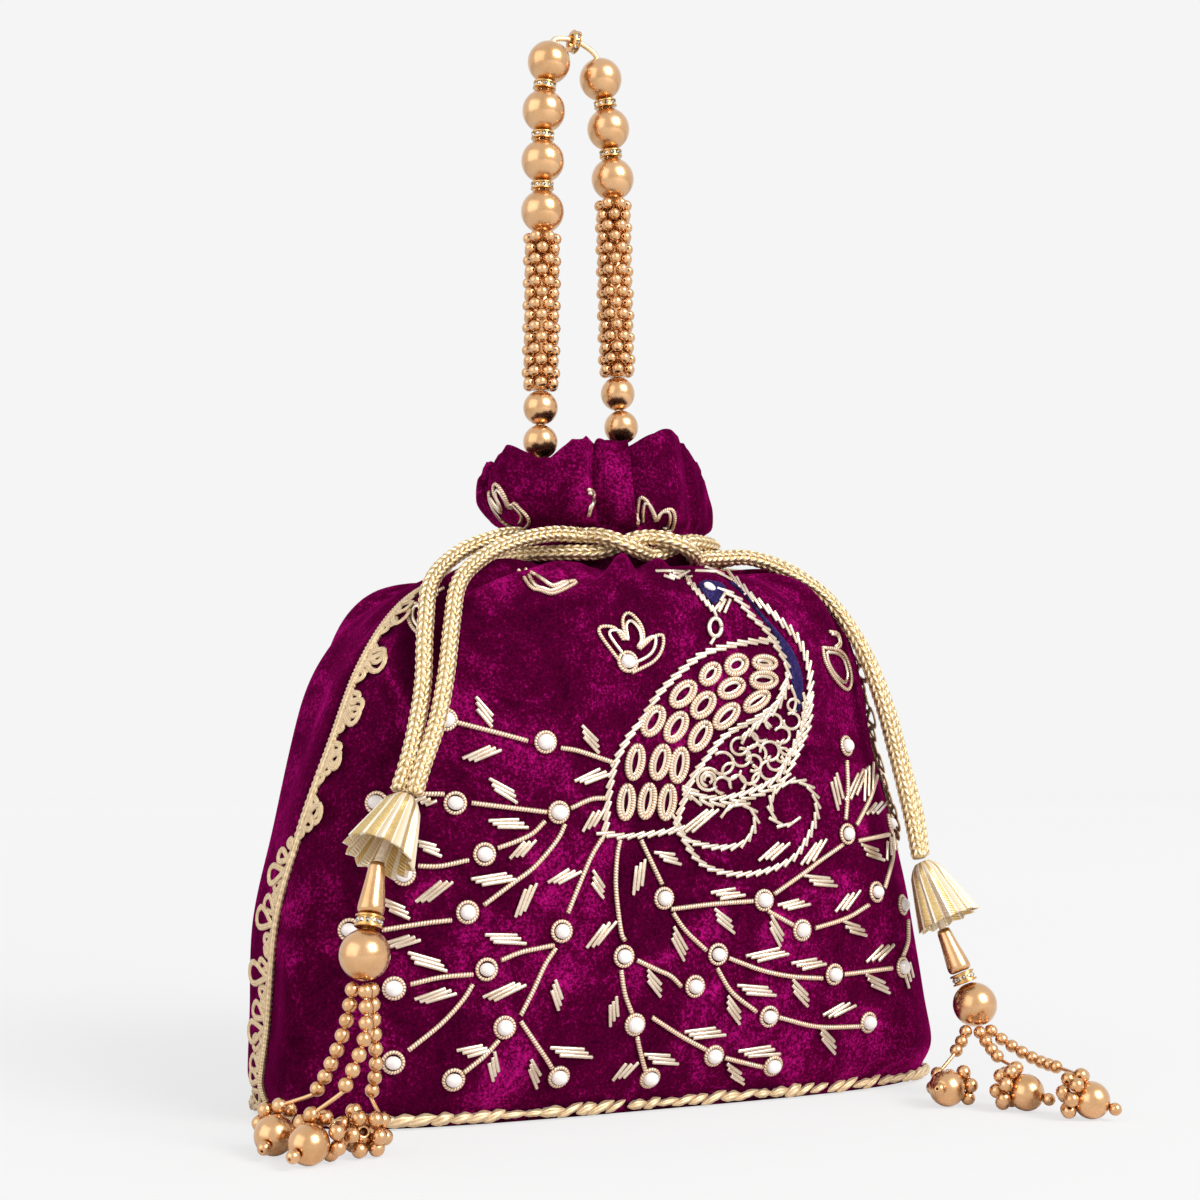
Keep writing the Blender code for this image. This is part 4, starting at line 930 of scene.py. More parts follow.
# deep gathers that the cords draw in below the neck: the valley's angle at each row, its depth in mm and its
# width; "swell" and "spread" are the low rise on both its sides
neckFolds = [{"rows": (6.9, 7.4, 8.1, 9.2, 10.4, 11.6), "angles": (258, 257, 253, 248, 246, 245),
              "depth": 3.0, "width": 5.0},
             {"rows": (7.8, 8.3, 9.2, 11.6), "angles": (220, 221, 223, 224), "depth": 2.2, "width": 4.0},
             {"rows": (7.9, 8.7, 9.6, 11.6), "angles": (233, 239, 240, 238), "depth": 1.6, "width": 3.6},
             {"rows": (7.9, 8.6, 9.6, 11.6), "angles": (272, 268, 264, 262), "depth": 1.3, "width": 4.2},
             {"rows": (8.6, 9.4, 10.4, 11.6), "angles": (302, 297, 291, 286), "depth": 1.8, "width": 4.2},
             {"rows": (8.4, 9.4, 11.6), "angles": (322, 318, 314), "depth": 1.6, "width": 5.0}]
foldSwell = {"share": 0.22, "spread": 2.4, "grow": 1.6, "fade": (10.2, 11.5), "fadeShare": 0.9}
# laps of the ruffle: left of each angle the cloth lies over the cloth right of it
ruffleLaps = {"angles": (243.0, 264.5), "step": 0.0027, "reach": 9.0, "over": 2.6}
# the hem against its even line: angle, rise and outward push in mm
hemShape = np.array([
    (0, 0, 0), (136, 0, 0), (146, -2.5, 0), (153, -3.8, 0), (164, -1.5, 0), (174, 0, 0), (190, 0, 0),
    (198, -2.2, 0), (206, -4.4, 0), (216, -6.6, 0), (223, -5.2, 0), (229, -1.6, 0), (235, 1.4, 0),
    (241, 1.4, 0.2), (247, 0.8, 0), (253, -0.6, 0), (260, 0.9, 0.3), (266, 0.4, 0), (280, -0.5, 0),
    (290, 1.2, 0), (298, 2.8, 0), (306, 4.0, 0), (313, 3.2, -0.3), (320, 0.8, -0.8), (328, -3.6, -1.4),
    (336, -5.2, -1.6), (345, -3.4, -1.2), (353, -1.2, -0.5), (360, 0, 0)])


def neckFoldPush(row, angle):
    # each fold: a narrow valley and a low swell on both its sides, both bell curves of the angle
    push = 0
    fading = 1 - foldSwell["fadeShare"] * step(*foldSwell["fade"], row)
    for fold in neckFolds:
        share = step(fold["rows"][0], fold["rows"][0] + foldSwell["grow"], row) * fading
        away = (angle - np.interp(row, fold["rows"], fold["angles"])) / fold["width"]
        swell = foldSwell["share"] * np.exp(-(away / foldSwell["spread"])**2)
        push = push - fold["depth"] * mm * share * (np.exp(-away**2) - swell)
    return push


def lapOf(row, angle):
    # push and turn of the ruffle's laps: a step down at each lap, and the upper cloth drawn over it
    share = step(11.9, 12.9, row)
    push, turn = 0, 0
    for middle in ruffleLaps["angles"]:
        away = angle - middle
        bell = np.exp(-(away / ruffleLaps["reach"])**2)
        push = push - ruffleLaps["step"] * np.tanh(away / 0.7) * bell * share
        turn = turn + ruffleLaps["over"] * np.exp(-((away + 1.5) / 2.4)**2) * share
    return push, turn


def shoulderPull(row, angle):
    # each shoulder: full within the spread's first angle, none past its second, and only below the neck
    share = step(6.5, 8.8, row) * (1 - step(10.2, 11.3, row)) * clothWaves["shoulderDepth"]
    return share * sum(pull * (1 - step(*clothWaves["shoulderSpread"], np.abs(angle - middle)))
                       for middle, pull in clothWaves["shoulders"])


def clothPush(row, angle):
    # dents and creases on the body, gathers near the neck, and valleys, laps, seam and hem on the ruffle
    body = step(0.6, 3.0, row) * (1 - step(9.5, 11.0, row))
    ruffle = step(11.8, 13.2, row)
    nearNeck = step(5.4, 9.6, row) * (1 - step(9.6, 10.9, row)) + 0.16 * ruffle
    valley = 1 - step(0, 7, np.abs((angle[..., None] - foldValleys + 180) % 360 - 180)).min(-1)
    seam = (clothWaves["hemRoll"] * step(15.4, 15.7, row)
            - clothWaves["seamDepth"] * np.exp(-((row - clothWaves["seamRow"]) / 0.2)**2))
    return (body * (waved(clothWaves["dents"], row, angle) - clothWaves["inward"])
            + nearNeck * waved(clothWaves["gathers"], row, angle)
            + (0.7 * body + 0.5 * ruffle) * waved(clothWaves["creases"], row, angle)
            - clothWaves["valleyDepth"] * ruffle * valley + neckFoldPush(row, angle) + lapOf(row, angle)[0]
            + seam + step(12.5, 15.0, row) * np.interp(angle % 360, hemShape[:, 0], hemShape[:, 2]) * mm
            - shoulderPull(row, angle))


def velvetWall(row, angle):
    # the plain wall at the drawn angle, pushed outward by the cloth, with the hem's rise
    drawn = angle + lapOf(row, angle)[1]
    place = plainWall(row, drawn) + clothPush(row, angle)[..., None] * outwardOf(plainWall, row, drawn)
    rise = step(13.4, 16.0, row) * np.interp(angle % 360, hemShape[:, 0], hemShape[:, 1]) * mm
    return place + rise[..., None] * upright


def seamTurn(row):
    # how far the seam lies behind the side, in degrees
    return ease(wallRows[7], row)


# rows are spaced evenly by height along the wall, so that the quads stay near square
fineRows = np.linspace(0, lastRow, 1200)
profileLine = plainWall(fineRows, 270.0)
profileRun = np.concatenate([[0], np.cumsum(np.linalg.norm(np.diff(profileLine, axis=0), axis=1))])
wallRow = np.interp(np.linspace(0, profileRun[-1], 190), profileRun, fineRows)[:, None]


def panelForm(start, stop, sign):
    # outer skin on the velvet's wall, inner skin one cloth inward, and a rim round their four edges
    share = np.linspace(0, 1, 230)[None]
    half = 90 - sign * seamTurn(wallRow) - np.degrees(bag["seamGap"] / 2 / ease(wallRows[1], wallRow))
    angle = (start + stop) / 2 - half + 2 * half * share
    outer = velvetWall(wallRow, angle)
    inner = outer - bag["cloth"] * outwardOf(velvetWall, wallRow, angle)
    both = joinForms([gridForm(outer), turnedRound(gridForm(inner))])
    rows, columns = outer.shape[:2]
    o = np.arange(rows * columns).reshape(rows, columns)
    i = o + rows * columns
    rims = [np.stack([o[-1, :-1], o[-1, 1:], i[-1, 1:], i[-1, :-1]], -1),
            np.stack([o[0, 1:], o[0, :-1], i[0, :-1], i[0, 1:]], -1),
            np.stack([o[:-1, 0], o[1:, 0], i[1:, 0], i[:-1, 0]], -1),
            np.stack([o[1:, -1], o[:-1, -1], i[:-1, -1], i[1:, -1]], -1)]
    rims = np.concatenate(rims)
    both["quads"] = np.concatenate([both["quads"], rims])
    both["quadUv"] = np.concatenate([both["quadUv"], np.zeros((len(rims), 4, 2))])
    return both


putPiece("frontVelvet", panelForm(190, 350, 1), velvet, ["front_panel"])
putPiece("backVelvet", panelForm(-10, 190, -1), velvet, ["back_panel"])

liningLook = {"topRow": 13.0, "slack": 0.0030, "neckSlack": 0.0021, "cloth": 0.0005}
liningRow = np.linspace(0, liningLook["topRow"], 60)[:, None]
liningAngle = np.arange(0, 360, 4.0)[None] + 0 * liningRow
liningWay = outwardOf(plainWall, liningRow, liningAngle)
slack = liningLook["slack"] + (liningLook["neckSlack"] - liningLook["slack"]) * step(10.0, 11.0, liningRow)
liningOut = velvetWall(liningRow, liningAngle) - slack[..., None] * liningWay
liningIn = liningOut - liningLook["cloth"] * liningWay
floorHeight = bag["baseThickness"] + bag["seamGap"]
liningOut[0, :, 2], liningIn[0, :, 2] = floorHeight, floorHeight + liningLook["cloth"]
liningForm = gridForm(np.concatenate([liningIn[:1] * (0.02, 0.02, 1), liningIn, liningOut[::-1],
                                      liningOut[:1] * (0.02, 0.02, 1)])[::-1],
                      closedColumns=True, capStart=True, capEnd=True)
putPiece("lining", liningForm, satin, ["lining"])

# the base is a flat board: share of the wall's outline and height of each ring, in mm
baseRings = np.array([(0.02, 0), (0.5, 0), (0.975, 0), (0.985, 0.4), (0.985, 1.6), (0.975, 2.0), (0.5, 2.0),
                      (0.02, 2.0)])[:, :, None, None]
baseEdge = plainWall(0.0, np.arange(0, 360, 2.5)) * (1, 1, 0)
basePlaces = baseEdge[None] * baseRings[:, 0] + baseRings[:, 1] * mm * upright
putPiece("basePanel", gridForm(basePlaces, closedColumns=True, capStart=True, capEnd=True), velvet,
         ["base_panel"])
print("velvet made")


def tabForm(node, power=0.35):
    # a soft rounded patch: a superellipsoid that fills the node's box
    low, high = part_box(node)
    half, middle = (np.array(high) - np.array(low)) / 2, middleOf(node)
    u = np.linspace(-math.pi / 2 + 0.02, math.pi / 2 - 0.02, 16)[:, None]
    v = (np.arange(32) * 2 * math.pi / 32)[None]
    cu, su = np.abs(np.cos(u))**power, np.sign(np.sin(u)) * np.abs(np.sin(u))**power
    cv, sv = np.sign(np.cos(v)) * np.abs(np.cos(v))**power, np.sign(np.sin(v)) * np.abs(np.sin(v))**power
    shape = np.stack(np.broadcast_arrays(cu * cv, cu * sv, su + 0 * v), -1)
    return gridForm(middle + shape * half, closedColumns=True, capStart=True, capEnd=True)


for node in ("handle_tab_left", "handle_tab_right"):
    putPiece(pieceName(node), tabForm(node), velvet, [node])


# Gota edging: a knotted header with fans of ribbon loops, over both seams and round the base
petal = {"length": 0.0052, "ribbon": 0.0008, "header": 0.0013, "loops": 58, "start": 0.0006, "lift": 0.0007,
         "flat": 0.36, "width": 0.40, "turnHeight": 0.066,
         "fanLengths": np.array([0.6, 0.85, 1.2, 1.0, 0.65]),
         "fanTilts": np.array([0.8, 0.4, 0.0, -0.4, -0.8]), "knots": 700}


def petalRow(places, outward, out, lengths, tilt):
    # teardrops in the velvet's plane, turned by their tilt from the way that they point: half of 1 minus
    # the cosine along it, the sine times that across it
    t = np.arange(18) * 2 * np.pi / 18
    ahead, aside, lift = (1 - np.cos(t)) / 2, np.sin(t) * (1 - np.cos(t)) / 2 * 1.25, 0.12 * np.sin(t / 2)
    across = np.cross(outward, out)
    point = np.cos(tilt)[:, None] * out + np.sin(tilt)[:, None] * across
    side = np.cross(point, outward)
    size = lengths[:, None, None]
    paths = (places[:, None] + size * (ahead[None, :, None] * point[:, None]
                                       + aside[None, :, None] * petal["width"] * side[:, None])
             + petal["lift"] * outward[:, None] + size * lift[None, :, None] * outward[:, None])
    return joinForms([tubeForm(path, petal["ribbon"], 6, normal, closed=True, flat=petal["flat"], reach=0.01)
                      for path, normal in zip(paths, outward)])


def seamEdging(left):
    # fans of loops and their header along one seam; the loops point back below the turn height
    share = np.linspace(0.02, 0.985, petal["loops"])
    row = np.interp(share * np.interp(11.2, fineRows, profileRun), profileRun, fineRows)
    turn = seamTurn(row)
    angle = 180 + turn if left else 360 - turn
    centre, normal = velvetWall(row, angle), outwardOf(velvetWall, row, angle)
    toFront = unit(velvetWall(row, angle + 1) - velvetWall(row, angle - 1)) * (1 if left else -1)
    way = np.where(centre[:, 2] > petal["turnHeight"], 1.0, -1.0)
    fan = np.arange(len(row)) % 5
    lengths = petal["length"] * petal["fanLengths"][fan] * random.uniform(0.75, 1.3, len(row))
    tilt = petal["fanTilts"][fan] + random.uniform(-0.3, 0.3, len(row))
    out = toFront * way[:, None]
    petals = petalRow(centre + out * petal["start"], normal, out, lengths, tilt)
    fine = np.linspace(row[0], row[-1], petal["knots"])
    fineAngle = 180 + seamTurn(fine) if left else 360 - seamTurn(fine)
    headNormal = outwardOf(velvetWall, fine, fineAngle)
    headLine = velvetWall(fine, fineAngle) + headNormal * 0.0006
    knots = petal["header"] * (0.78 + 0.3 * np.abs(np.sin(np.arange(petal["knots"]) * 0.7)))
    return joinForms([petals, tubeForm(headLine, knots, 8, headNormal, flat=0.6)])


putPiece("sideEdgingLeft", seamEdging(True), ribbonGold, ["side_edging_left"])
putPiece("sideEdgingRight", seamEdging(False), ribbonGold, ["side_edging_right"])

# round the base the loops lie folded along the edge like grains
grain = {"count": 96, "length": 0.0068, "height": 0.0012, "depth": 0.0010, "row": 0.12, "stand": 0.0014,
         "lift": 0.0022}
edgeFine = np.arange(0, 360, 0.5)
edgeLine = plainWall(grain["row"] + 0.0 * edgeFine, edgeFine) * (1, 1, 0)
edgeRun = np.concatenate([[0], np.cumsum(np.linalg.norm(np.diff(edgeLine, axis=0), axis=1))])
grainStep = np.arange(grain["count"]) + random.uniform(-0.2, 0.2, grain["count"])
grainAngle = np.interp(grainStep / grain["count"] * edgeRun[-1], edgeRun, edgeFine)
grainPlace = plainWall(grain["row"] + 0.0 * grainAngle, grainAngle) * (1, 1, 0)
ahead, behind = [plainWall(0.0 * grainAngle, grainAngle + turn) for turn in (1, -1)]
grainWay = unit((ahead - behind) * (1, 1, 0))
grainOut = np.cross(grainWay, upright)
grainWay = unit(grainWay + upright * random.uniform(0.05, 0.5, grain["count"])[:, None])
t = np.linspace(0, 1, 18)[:, None]
phi = (np.arange(12) * 2 * np.pi / 12)[None]
plump = np.sin(np.pi * np.clip(t, 0.02, 0.98)) ** 0.7 * (1 + 0.16 * np.cos(4 * phi + 9 * t))
grainShape = gridForm(np.stack(np.broadcast_arrays(plump * np.cos(phi), plump * np.sin(phi), 2 * t - 1), -1),
                      closedColumns=True, capStart=True, capEnd=True)
grainFrames = np.stack([grainOut, np.cross(grainWay, grainOut), grainWay], -2)
grainSizes = np.stack([np.full(grain["count"], grain["depth"]),
                       grain["height"] * random.uniform(0.7, 1.25, grain["count"]),
                       grain["length"] / 2 * random.uniform(0.75, 1.25, grain["count"])], -1)
grainPlace = grainPlace + grainOut * grain["stand"] + upright * grain["lift"]
grains = scatterForm(grainShape, grainPlace, grainFrames, grainSizes)
putPiece("baseEdging", grains, ribbonGold, ["base_edging"])
print("edging made")


# Embroidery: routes and places as they are seen in the photograph, in its pixels
threads = {"coil": 0.00062, "tube": 0.00054, "fine": 0.00052, "pearl": (0.00212, 0.0019, 0.0015),
           "pearlLift": 0.0011, "ring": 0.00242, "ringLift": 0.0005}
netRow, netAngle = np.meshgrid(np.linspace(0.2, lastRow, 170), np.linspace(183, 357, 175), indexing="ij")
netPlace = velvetWall(netRow, netAngle)
netFacing = (outwardOf(plainWall, netRow, netAngle) * (np.array(camera["place"]) - netPlace)).sum(-1)
netSeen = np.where(netFacing[..., None] > 0.01, seenAt(netPlace), 1e5)


def onVelvet(pixels):
    # nearest of a net of wall places, then Newton steps on the velvet as the camera sees it
    pixels = np.asarray(pixels, float)
    apart = ((netSeen[None] - pixels[:, None, None])**2).sum(-1).reshape(len(pixels), -1)
    nearest = apart.argmin(1)
    row, angle = netRow.ravel()[nearest], netAngle.ravel()[nearest]
    rowStep, angleStep = 0.002, 0.02
    for _ in range(8):
        here = seenAt(velvetWall(row, angle))
        byRow = (seenAt(velvetWall(row + rowStep, angle)) - here) / rowStep
        byAngle = (seenAt(velvetWall(row, angle + angleStep)) - here) / angleStep
        off = pixels - here
        spread = byRow[:, 0] * byAngle[:, 1] - byRow[:, 1] * byAngle[:, 0]
        spread = np.where(np.abs(spread) < 1.0, 1.0, spread)
        rowMove = (off[:, 0] * byAngle[:, 1] - off[:, 1] * byAngle[:, 0]) / spread
        angleMove = (byRow[:, 0] * off[:, 1] - byRow[:, 1] * off[:, 0]) / spread
        row = np.clip(row + np.clip(rowMove, -0.1, 0.1), 0.1, lastRow)
        angle = angle + np.clip(angleMove, -1, 1)
    angle = np.clip(angle, 183, 357)
    return velvetWall(row, angle), unit(outwardOf(velvetWall, row, angle) + outwardOf(plainWall, row, angle))


def laidRoutes(routes, spacing, lift):
    # all routes are mapped in one go, then split again
    lines = [smoothRoute(route, spacing) for route in routes]
    place, normal = onVelvet(np.concatenate(lines))
    cuts = np.cumsum([len(line) for line in lines])[:-1]
    return [(p + n * lift, n) for p, n in zip(np.split(place, cuts), np.split(normal, cuts))]


def laidThreads(routes, radius, spacing=3.0):
    # a thin tube along each route, sunk into the pile by a tenth of its radius
    return joinForms([tubeForm(p, radius, 7, n) for p, n in laidRoutes(routes, spacing, radius * 0.9)])


cutTube = turnedForm([(0.55, -1), (0.9, -0.98), (1, -0.92), (1, 0.92), (0.9, 0.98), (0.55, 1)], 8)


def laidTubes(starts, stops, radius):
    # straight cut tubes from one seen place to another
    starts, stops = np.asarray(starts, float), np.asarray(stops, float)
    places, normals = onVelvet(np.concatenate([starts, stops]))
    n = len(starts)
    a, b, normal = places[:n], places[n:], unit(normals[:n] + normals[n:])
    length = np.linalg.norm(b - a, axis=1) / 2
    sizes = np.stack([np.full(n, radius), np.full(n, radius), length], -1)
    return scatterForm(cutTube, (a + b) / 2 + normal * radius, framesAlong(b - a, normal), sizes)


def turned(way, degrees):
    # a direction on the picture turned by an angle
    c, s = math.cos(math.radians(degrees)), math.sin(math.radians(degrees))
    return way @ np.array([[c, s], [-s, c]])


def roped(route, spacing, length, degrees, sideways=0.0):
    # short tubes side by side along a route, each slanting across it
    line = smoothRoute(route, spacing)
    way = unit(np.gradient(line, axis=0))
    line = line + turned(way, 90) * sideways
    slanted = turned(way, degrees) * length / 2
    return line - slanted, line + slanted


# middles of the pearls
pearlPlaces = [
    (545, 742), (446, 720), (455, 803), (377, 803), (558, 812), (484, 854), (404, 874), (467, 912),
    (350, 930), (561, 931), (486, 969), (394, 988), (504, 1027), (393, 1062), (453, 1079), (558, 1076),
    (623, 956), (663, 898), (763, 900), (694, 986), (717, 954), (634, 1024), (649, 1077), (713, 1055),
    (768, 1016), (772, 1065), (845, 746), (880, 764), (846, 834), (888, 824), (875, 892), (901, 905),
    (801, 930), (833, 974), (901, 967), (867, 1022)]
# stems of coiled wire
stemRoutes = [
    [(454, 722), (501, 734), (527, 741)], [(560, 748), (578, 751), (614, 763)], [(444, 794), (422, 794)],
    [(471, 803), (546, 812)], [(570, 808), (590, 799), (605, 798)],
    [(544, 821), (532, 833), (516, 841), (497, 848)], [(468, 860), (440, 866), (418, 866)],
    [(564, 824), (558, 837), (546, 853), (531, 869), (512, 883), (483, 905)],
    [(451, 920), (425, 923), (382, 930)], [(601, 838), (590, 857), (579, 883), (567, 913)],
    [(619, 840), (616, 857), (615, 889), (620, 931), (624, 940)], [(640, 840), (650, 861), (661, 884)],
    [(670, 909), (711, 904), (752, 901)], [(672, 913), (685, 931), (705, 950)],
    [(716, 968), (731, 992), (755, 1011)], [(728, 958), (761, 970), (790, 976), (821, 978)],
    [(636, 960), (657, 970), (670, 976), (680, 986)], [(620, 970), (624, 994), (631, 1013)],
    [(636, 1036), (640, 1054), (645, 1072)], [(651, 1017), (679, 1035), (705, 1049)],
    [(724, 1057), (744, 1062), (761, 1066)], [(553, 945), (538, 948), (520, 952), (500, 960)],
    [(555, 948), (544, 965), (533, 989), (520, 1015)], [(498, 1040), (483, 1056), (463, 1072)],
    [(520, 1021), (535, 1043), (544, 1056), (551, 1067)], [(472, 974), (440, 977), (410, 984)],
    [(472, 984), (462, 1000), (440, 1024), (408, 1050)], [(845, 761), (846, 790), (844, 820)],
    [(875, 776), (868, 799), (855, 825)], [(857, 841), (887, 835)],
    [(841, 845), (817, 862), (804, 872), (773, 894)], [(889, 838), (891, 856), (883, 888)],
    [(867, 905), (845, 918), (814, 928)], [(767, 911), (792, 925)], [(843, 974), (867, 971), (890, 968)],
    [(906, 920), (906, 941), (901, 956)], [(778, 1017), (816, 1026), (858, 1026)]]
# each leaf group: start and end of its middle tube
leafTubes = np.array([
    (476, 703, 492, 722), (468, 760, 495, 748), (491, 784, 515, 797), (492, 824, 523, 823),
    (515, 857, 529, 841), (419, 845, 439, 851), (420, 803, 431, 799), (475, 882, 511, 876),
    (421, 902, 447, 881), (386, 904, 408, 914), (390, 946, 415, 937), (411, 957, 443, 966),
    (419, 1001, 451, 990), (461, 1053, 487, 1047), (519, 915, 530, 885), (552, 883, 574, 870),
    (591, 876, 603, 893), (640, 862, 636, 891), (657, 856, 677, 859), (488, 938, 521, 939),
    (591, 947, 609, 922), (487, 999, 520, 983), (552, 984, 560, 1005), (612, 1000, 613, 1021),
    (646, 974, 660, 991), (672, 932, 684, 955), (714, 895, 739, 892), (714, 914, 732, 927),
    (750, 958, 783, 951), (769, 921, 781, 941), (726, 1001, 739, 1018), (740, 989, 771, 991),
    (553, 1051, 588, 1052), (529, 1063, 538, 1081), (491, 1056, 495, 1076), (617, 1078, 631, 1062),
    (646, 1057, 674, 1059), (687, 1034, 720, 1031), (727, 1068, 742, 1078), (742, 1053, 774, 1049),
    (832, 777, 839, 805), (861, 770, 849, 799), (868, 766, 866, 797), (880, 802, 870, 814),
    (888, 837, 889, 856), (861, 849, 880, 856), (805, 864, 820, 840), (763, 860, 783, 843),
    (581, 731, 598, 747), (578, 782, 605, 771), (587, 829, 598, 810), (684, 832, 712, 809),
    (807, 880, 832, 882), (781, 908, 803, 901), (839, 911, 853, 892), (844, 926, 862, 931),
    (795, 966, 820, 961), (870, 961, 887, 945), (791, 984, 807, 1001), (866, 979, 886, 988),
    (827, 1016, 848, 1003), (819, 1032, 834, 1047), (905, 968, 909, 982)], float)
# each feather: centre, length, width, and its turn on the picture
feathers = np.array([
    (763, 663, 27, 17, 5), (735, 665, 26, 22, -30), (709, 674, 27, 20, -50), (762, 680, 30, 20, 0),
    (730, 688, 30, 21, -25), (755, 701, 32, 18, -35), (682, 694, 34, 22, -45), (702, 705, 32, 22, -50),
    (725, 716, 34, 20, -45), (652, 721, 35, 22, -60), (675, 727, 35, 22, -60), (699, 736, 35, 21, -60),
    (634, 762, 38, 20, -80), (659, 762, 38, 21, -75), (678, 765, 38, 20, -80), (625, 802, 38, 19, -85),
    (646, 801, 38, 19, -80), (666, 802, 38, 19, -82)], float)
# rings of smooth wire on the breast: centre and radius
breastRings = [(738, 746, 8.5), (760, 731, 10), (755, 754, 9.5), (768, 751, 9.5), (721, 763, 11),
               (748, 774, 9.5), (768, 770, 9.5), (707, 779, 11), (707, 779, 7), (707, 779, 4), (780, 735, 8),
               (790, 721, 8), (786, 747, 8), (729, 771, 8), (721, 785, 8), (736, 783, 8), (752, 763, 8),
               (740, 757, 9), (774, 762, 8), (758, 780, 7), (792, 705, 6), (772, 722, 8), (748, 740, 8),
               (781, 755, 7)]
# edges of the wing, tail, breast, neck and head, and the curls below the bird
wingEdge = [(767, 641), (744, 643), (721, 648), (698, 657), (675, 676), (656, 696), (643, 717), (629, 735),
            (617, 756), (611, 774), (607, 799), (604, 832)]
tailEdge = [(604, 833), (620, 836), (638, 835), (656, 833), (675, 830)]
lowerEdge = [(783, 682), (776, 701), (757, 717), (739, 726), (725, 735), (716, 744), (707, 756), (696, 770),
             (689, 783), (684, 797), (679, 811), (675, 825)]
breastEdge = [(803, 701), (801, 724), (794, 742), (786, 760), (776, 777), (757, 788), (735, 795), (716, 798),
              (698, 795), (689, 789)]
neckOuter = [(696, 578), (705, 573), (717, 573), (730, 579), (738, 586), (752, 600), (766, 610), (780, 623),
             (792, 635), (800, 648), (806, 664), (808, 678), (808, 692), (806, 706), (803, 722), (799, 736),
             (793, 748)]
neckInner = [(724, 592), (738, 602), (752, 619), (764, 630), (773, 644), (782, 659), (786, 673), (783, 692),
             (776, 706), (766, 715), (755, 725), (744, 736)]
headEdge = [(686, 580), (700, 597), (713, 612)]
curlRoutes = [
    [(675, 820), (682, 836), (696, 843), (716, 847), (737, 845), (748, 836), (754, 820), (748, 808),
     (735, 804), (724, 811)],
    [(682, 836), (689, 850), (702, 864), (721, 872), (744, 874), (767, 870), (790, 859), (803, 843),
     (813, 822), (815, 804), (808, 788), (794, 781), (778, 787), (770, 799), (771, 816), (780, 825),
     (792, 822)]]
# single tubes of the head and beak: start and end
headTubes = np.array([
    (663, 577, 674, 581), (668, 576, 679, 580), (673, 575, 684, 577), (676, 580, 689, 573),
    (655, 573, 671, 573), (671, 573, 686, 574), (724, 594, 719, 602), (729, 600, 723, 614),
    (724, 600, 717, 613), (719, 603, 713, 611), (714, 637, 709, 645)], float)
# blue patches: the two routes that each lies between
bluePatches = {
    "neck": ([(729, 583), (745, 596), (756, 612), (769, 628), (779, 645), (786, 660), (790, 675), (792, 690),
              (795, 703), (797, 712)],
             [(731, 583), (738, 590), (750, 603), (764, 618), (778, 633), (790, 648), (797, 662), (801, 675),
              (802, 690), (799, 706)]),
    "head": ([(698, 585), (703, 593), (709, 601), (713, 605)],
             [(706, 581), (719, 583), (725, 590), (717, 602)])}
# arcs of smooth wire by the neck
smoothArcs = [[(789, 685), (794, 699), (792, 711), (786, 714)]]
# each small flower: its double outline
butis = [
    [(627, 672), (598, 632), (613, 628), (624, 641), (622, 620), (629, 614), (640, 625), (643, 639),
     (638, 650), (652, 638), (662, 636), (661, 650), (652, 662), (631, 673)],
    [(828, 632), (836, 634), (839, 645), (833, 650)],
    [(821, 647), (824, 662), (833, 678), (846, 690), (850, 678), (845, 659), (836, 650), (822, 648)],
    [(519, 572), (531, 588), (540, 591), (553, 594), (574, 585), (575, 582), (567, 583), (553, 587),
     (540, 579), (526, 571)],
    [(444, 589), (434, 595), (430, 603), (425, 614), (418, 605), (412, 607), (409, 617), (412, 627),
     (420, 635), (425, 631), (427, 623)],
    [(499, 526), (490, 519), (485, 508), (483, 498), (487, 495), (494, 503), (502, 512), (499, 501),
     (495, 492), (496, 484), (501, 488), (507, 498), (511, 508), (515, 502), (520, 507), (526, 513),
     (530, 520), (526, 528)], [(588, 490), (595, 493), (591, 507), (589, 515)],
    [(637, 525), (639, 499), (646, 500), (653, 513), (656, 520), (662, 511), (671, 509), (674, 518),
     (671, 529), (664, 532)]]
flowerPearl = (627, 662)
dropRing = {"middle": (714, 628), "width": 6, "height": 9}
eyePearl = {"place": (708.5, 588.5), "size": (0.0017, 0.0011, 0.0008), "lift": 0.0009}

# pearls: a white oval in a ring of coiled wire
pearlPlace, pearlNormal = onVelvet(np.array(pearlPlaces + [flowerPearl], float))
n = len(pearlPlace)
pearlFrames = framesAlong(pearlNormal, (0.2, 0, 1.0))
pearlSize = np.array(threads["pearl"]) * random.uniform(0.9, 1.08, (n, 1)) * random.permuted(
    np.tile([1.0, 0.94, 1.0], (n, 1)), axis=1)
arc = np.linspace(0.12, math.pi - 0.12, 10)
pearlBall = turnedForm(np.stack([np.sin(arc), -np.cos(arc)], -1), 16)
pearls = scatterForm(pearlBall, pearlPlace + pearlNormal * threads["pearlLift"], pearlFrames, pearlSize)
putPiece("seedPearls", pearls, pearlWhite)
ringTurn = np.arange(20) * 2 * np.pi / 20
ringLine = np.stack([np.cos(ringTurn), np.sin(ringTurn), 0 * ringTurn], -1)
ringForm = tubeForm(ringLine * threads["ring"], threads["coil"] * 0.8, 7, (0, 0, 1.0), closed=True)
rings = scatterForm(ringForm, pearlPlace + pearlNormal * threads["ringLift"], pearlFrames, np.ones((n, 1)))

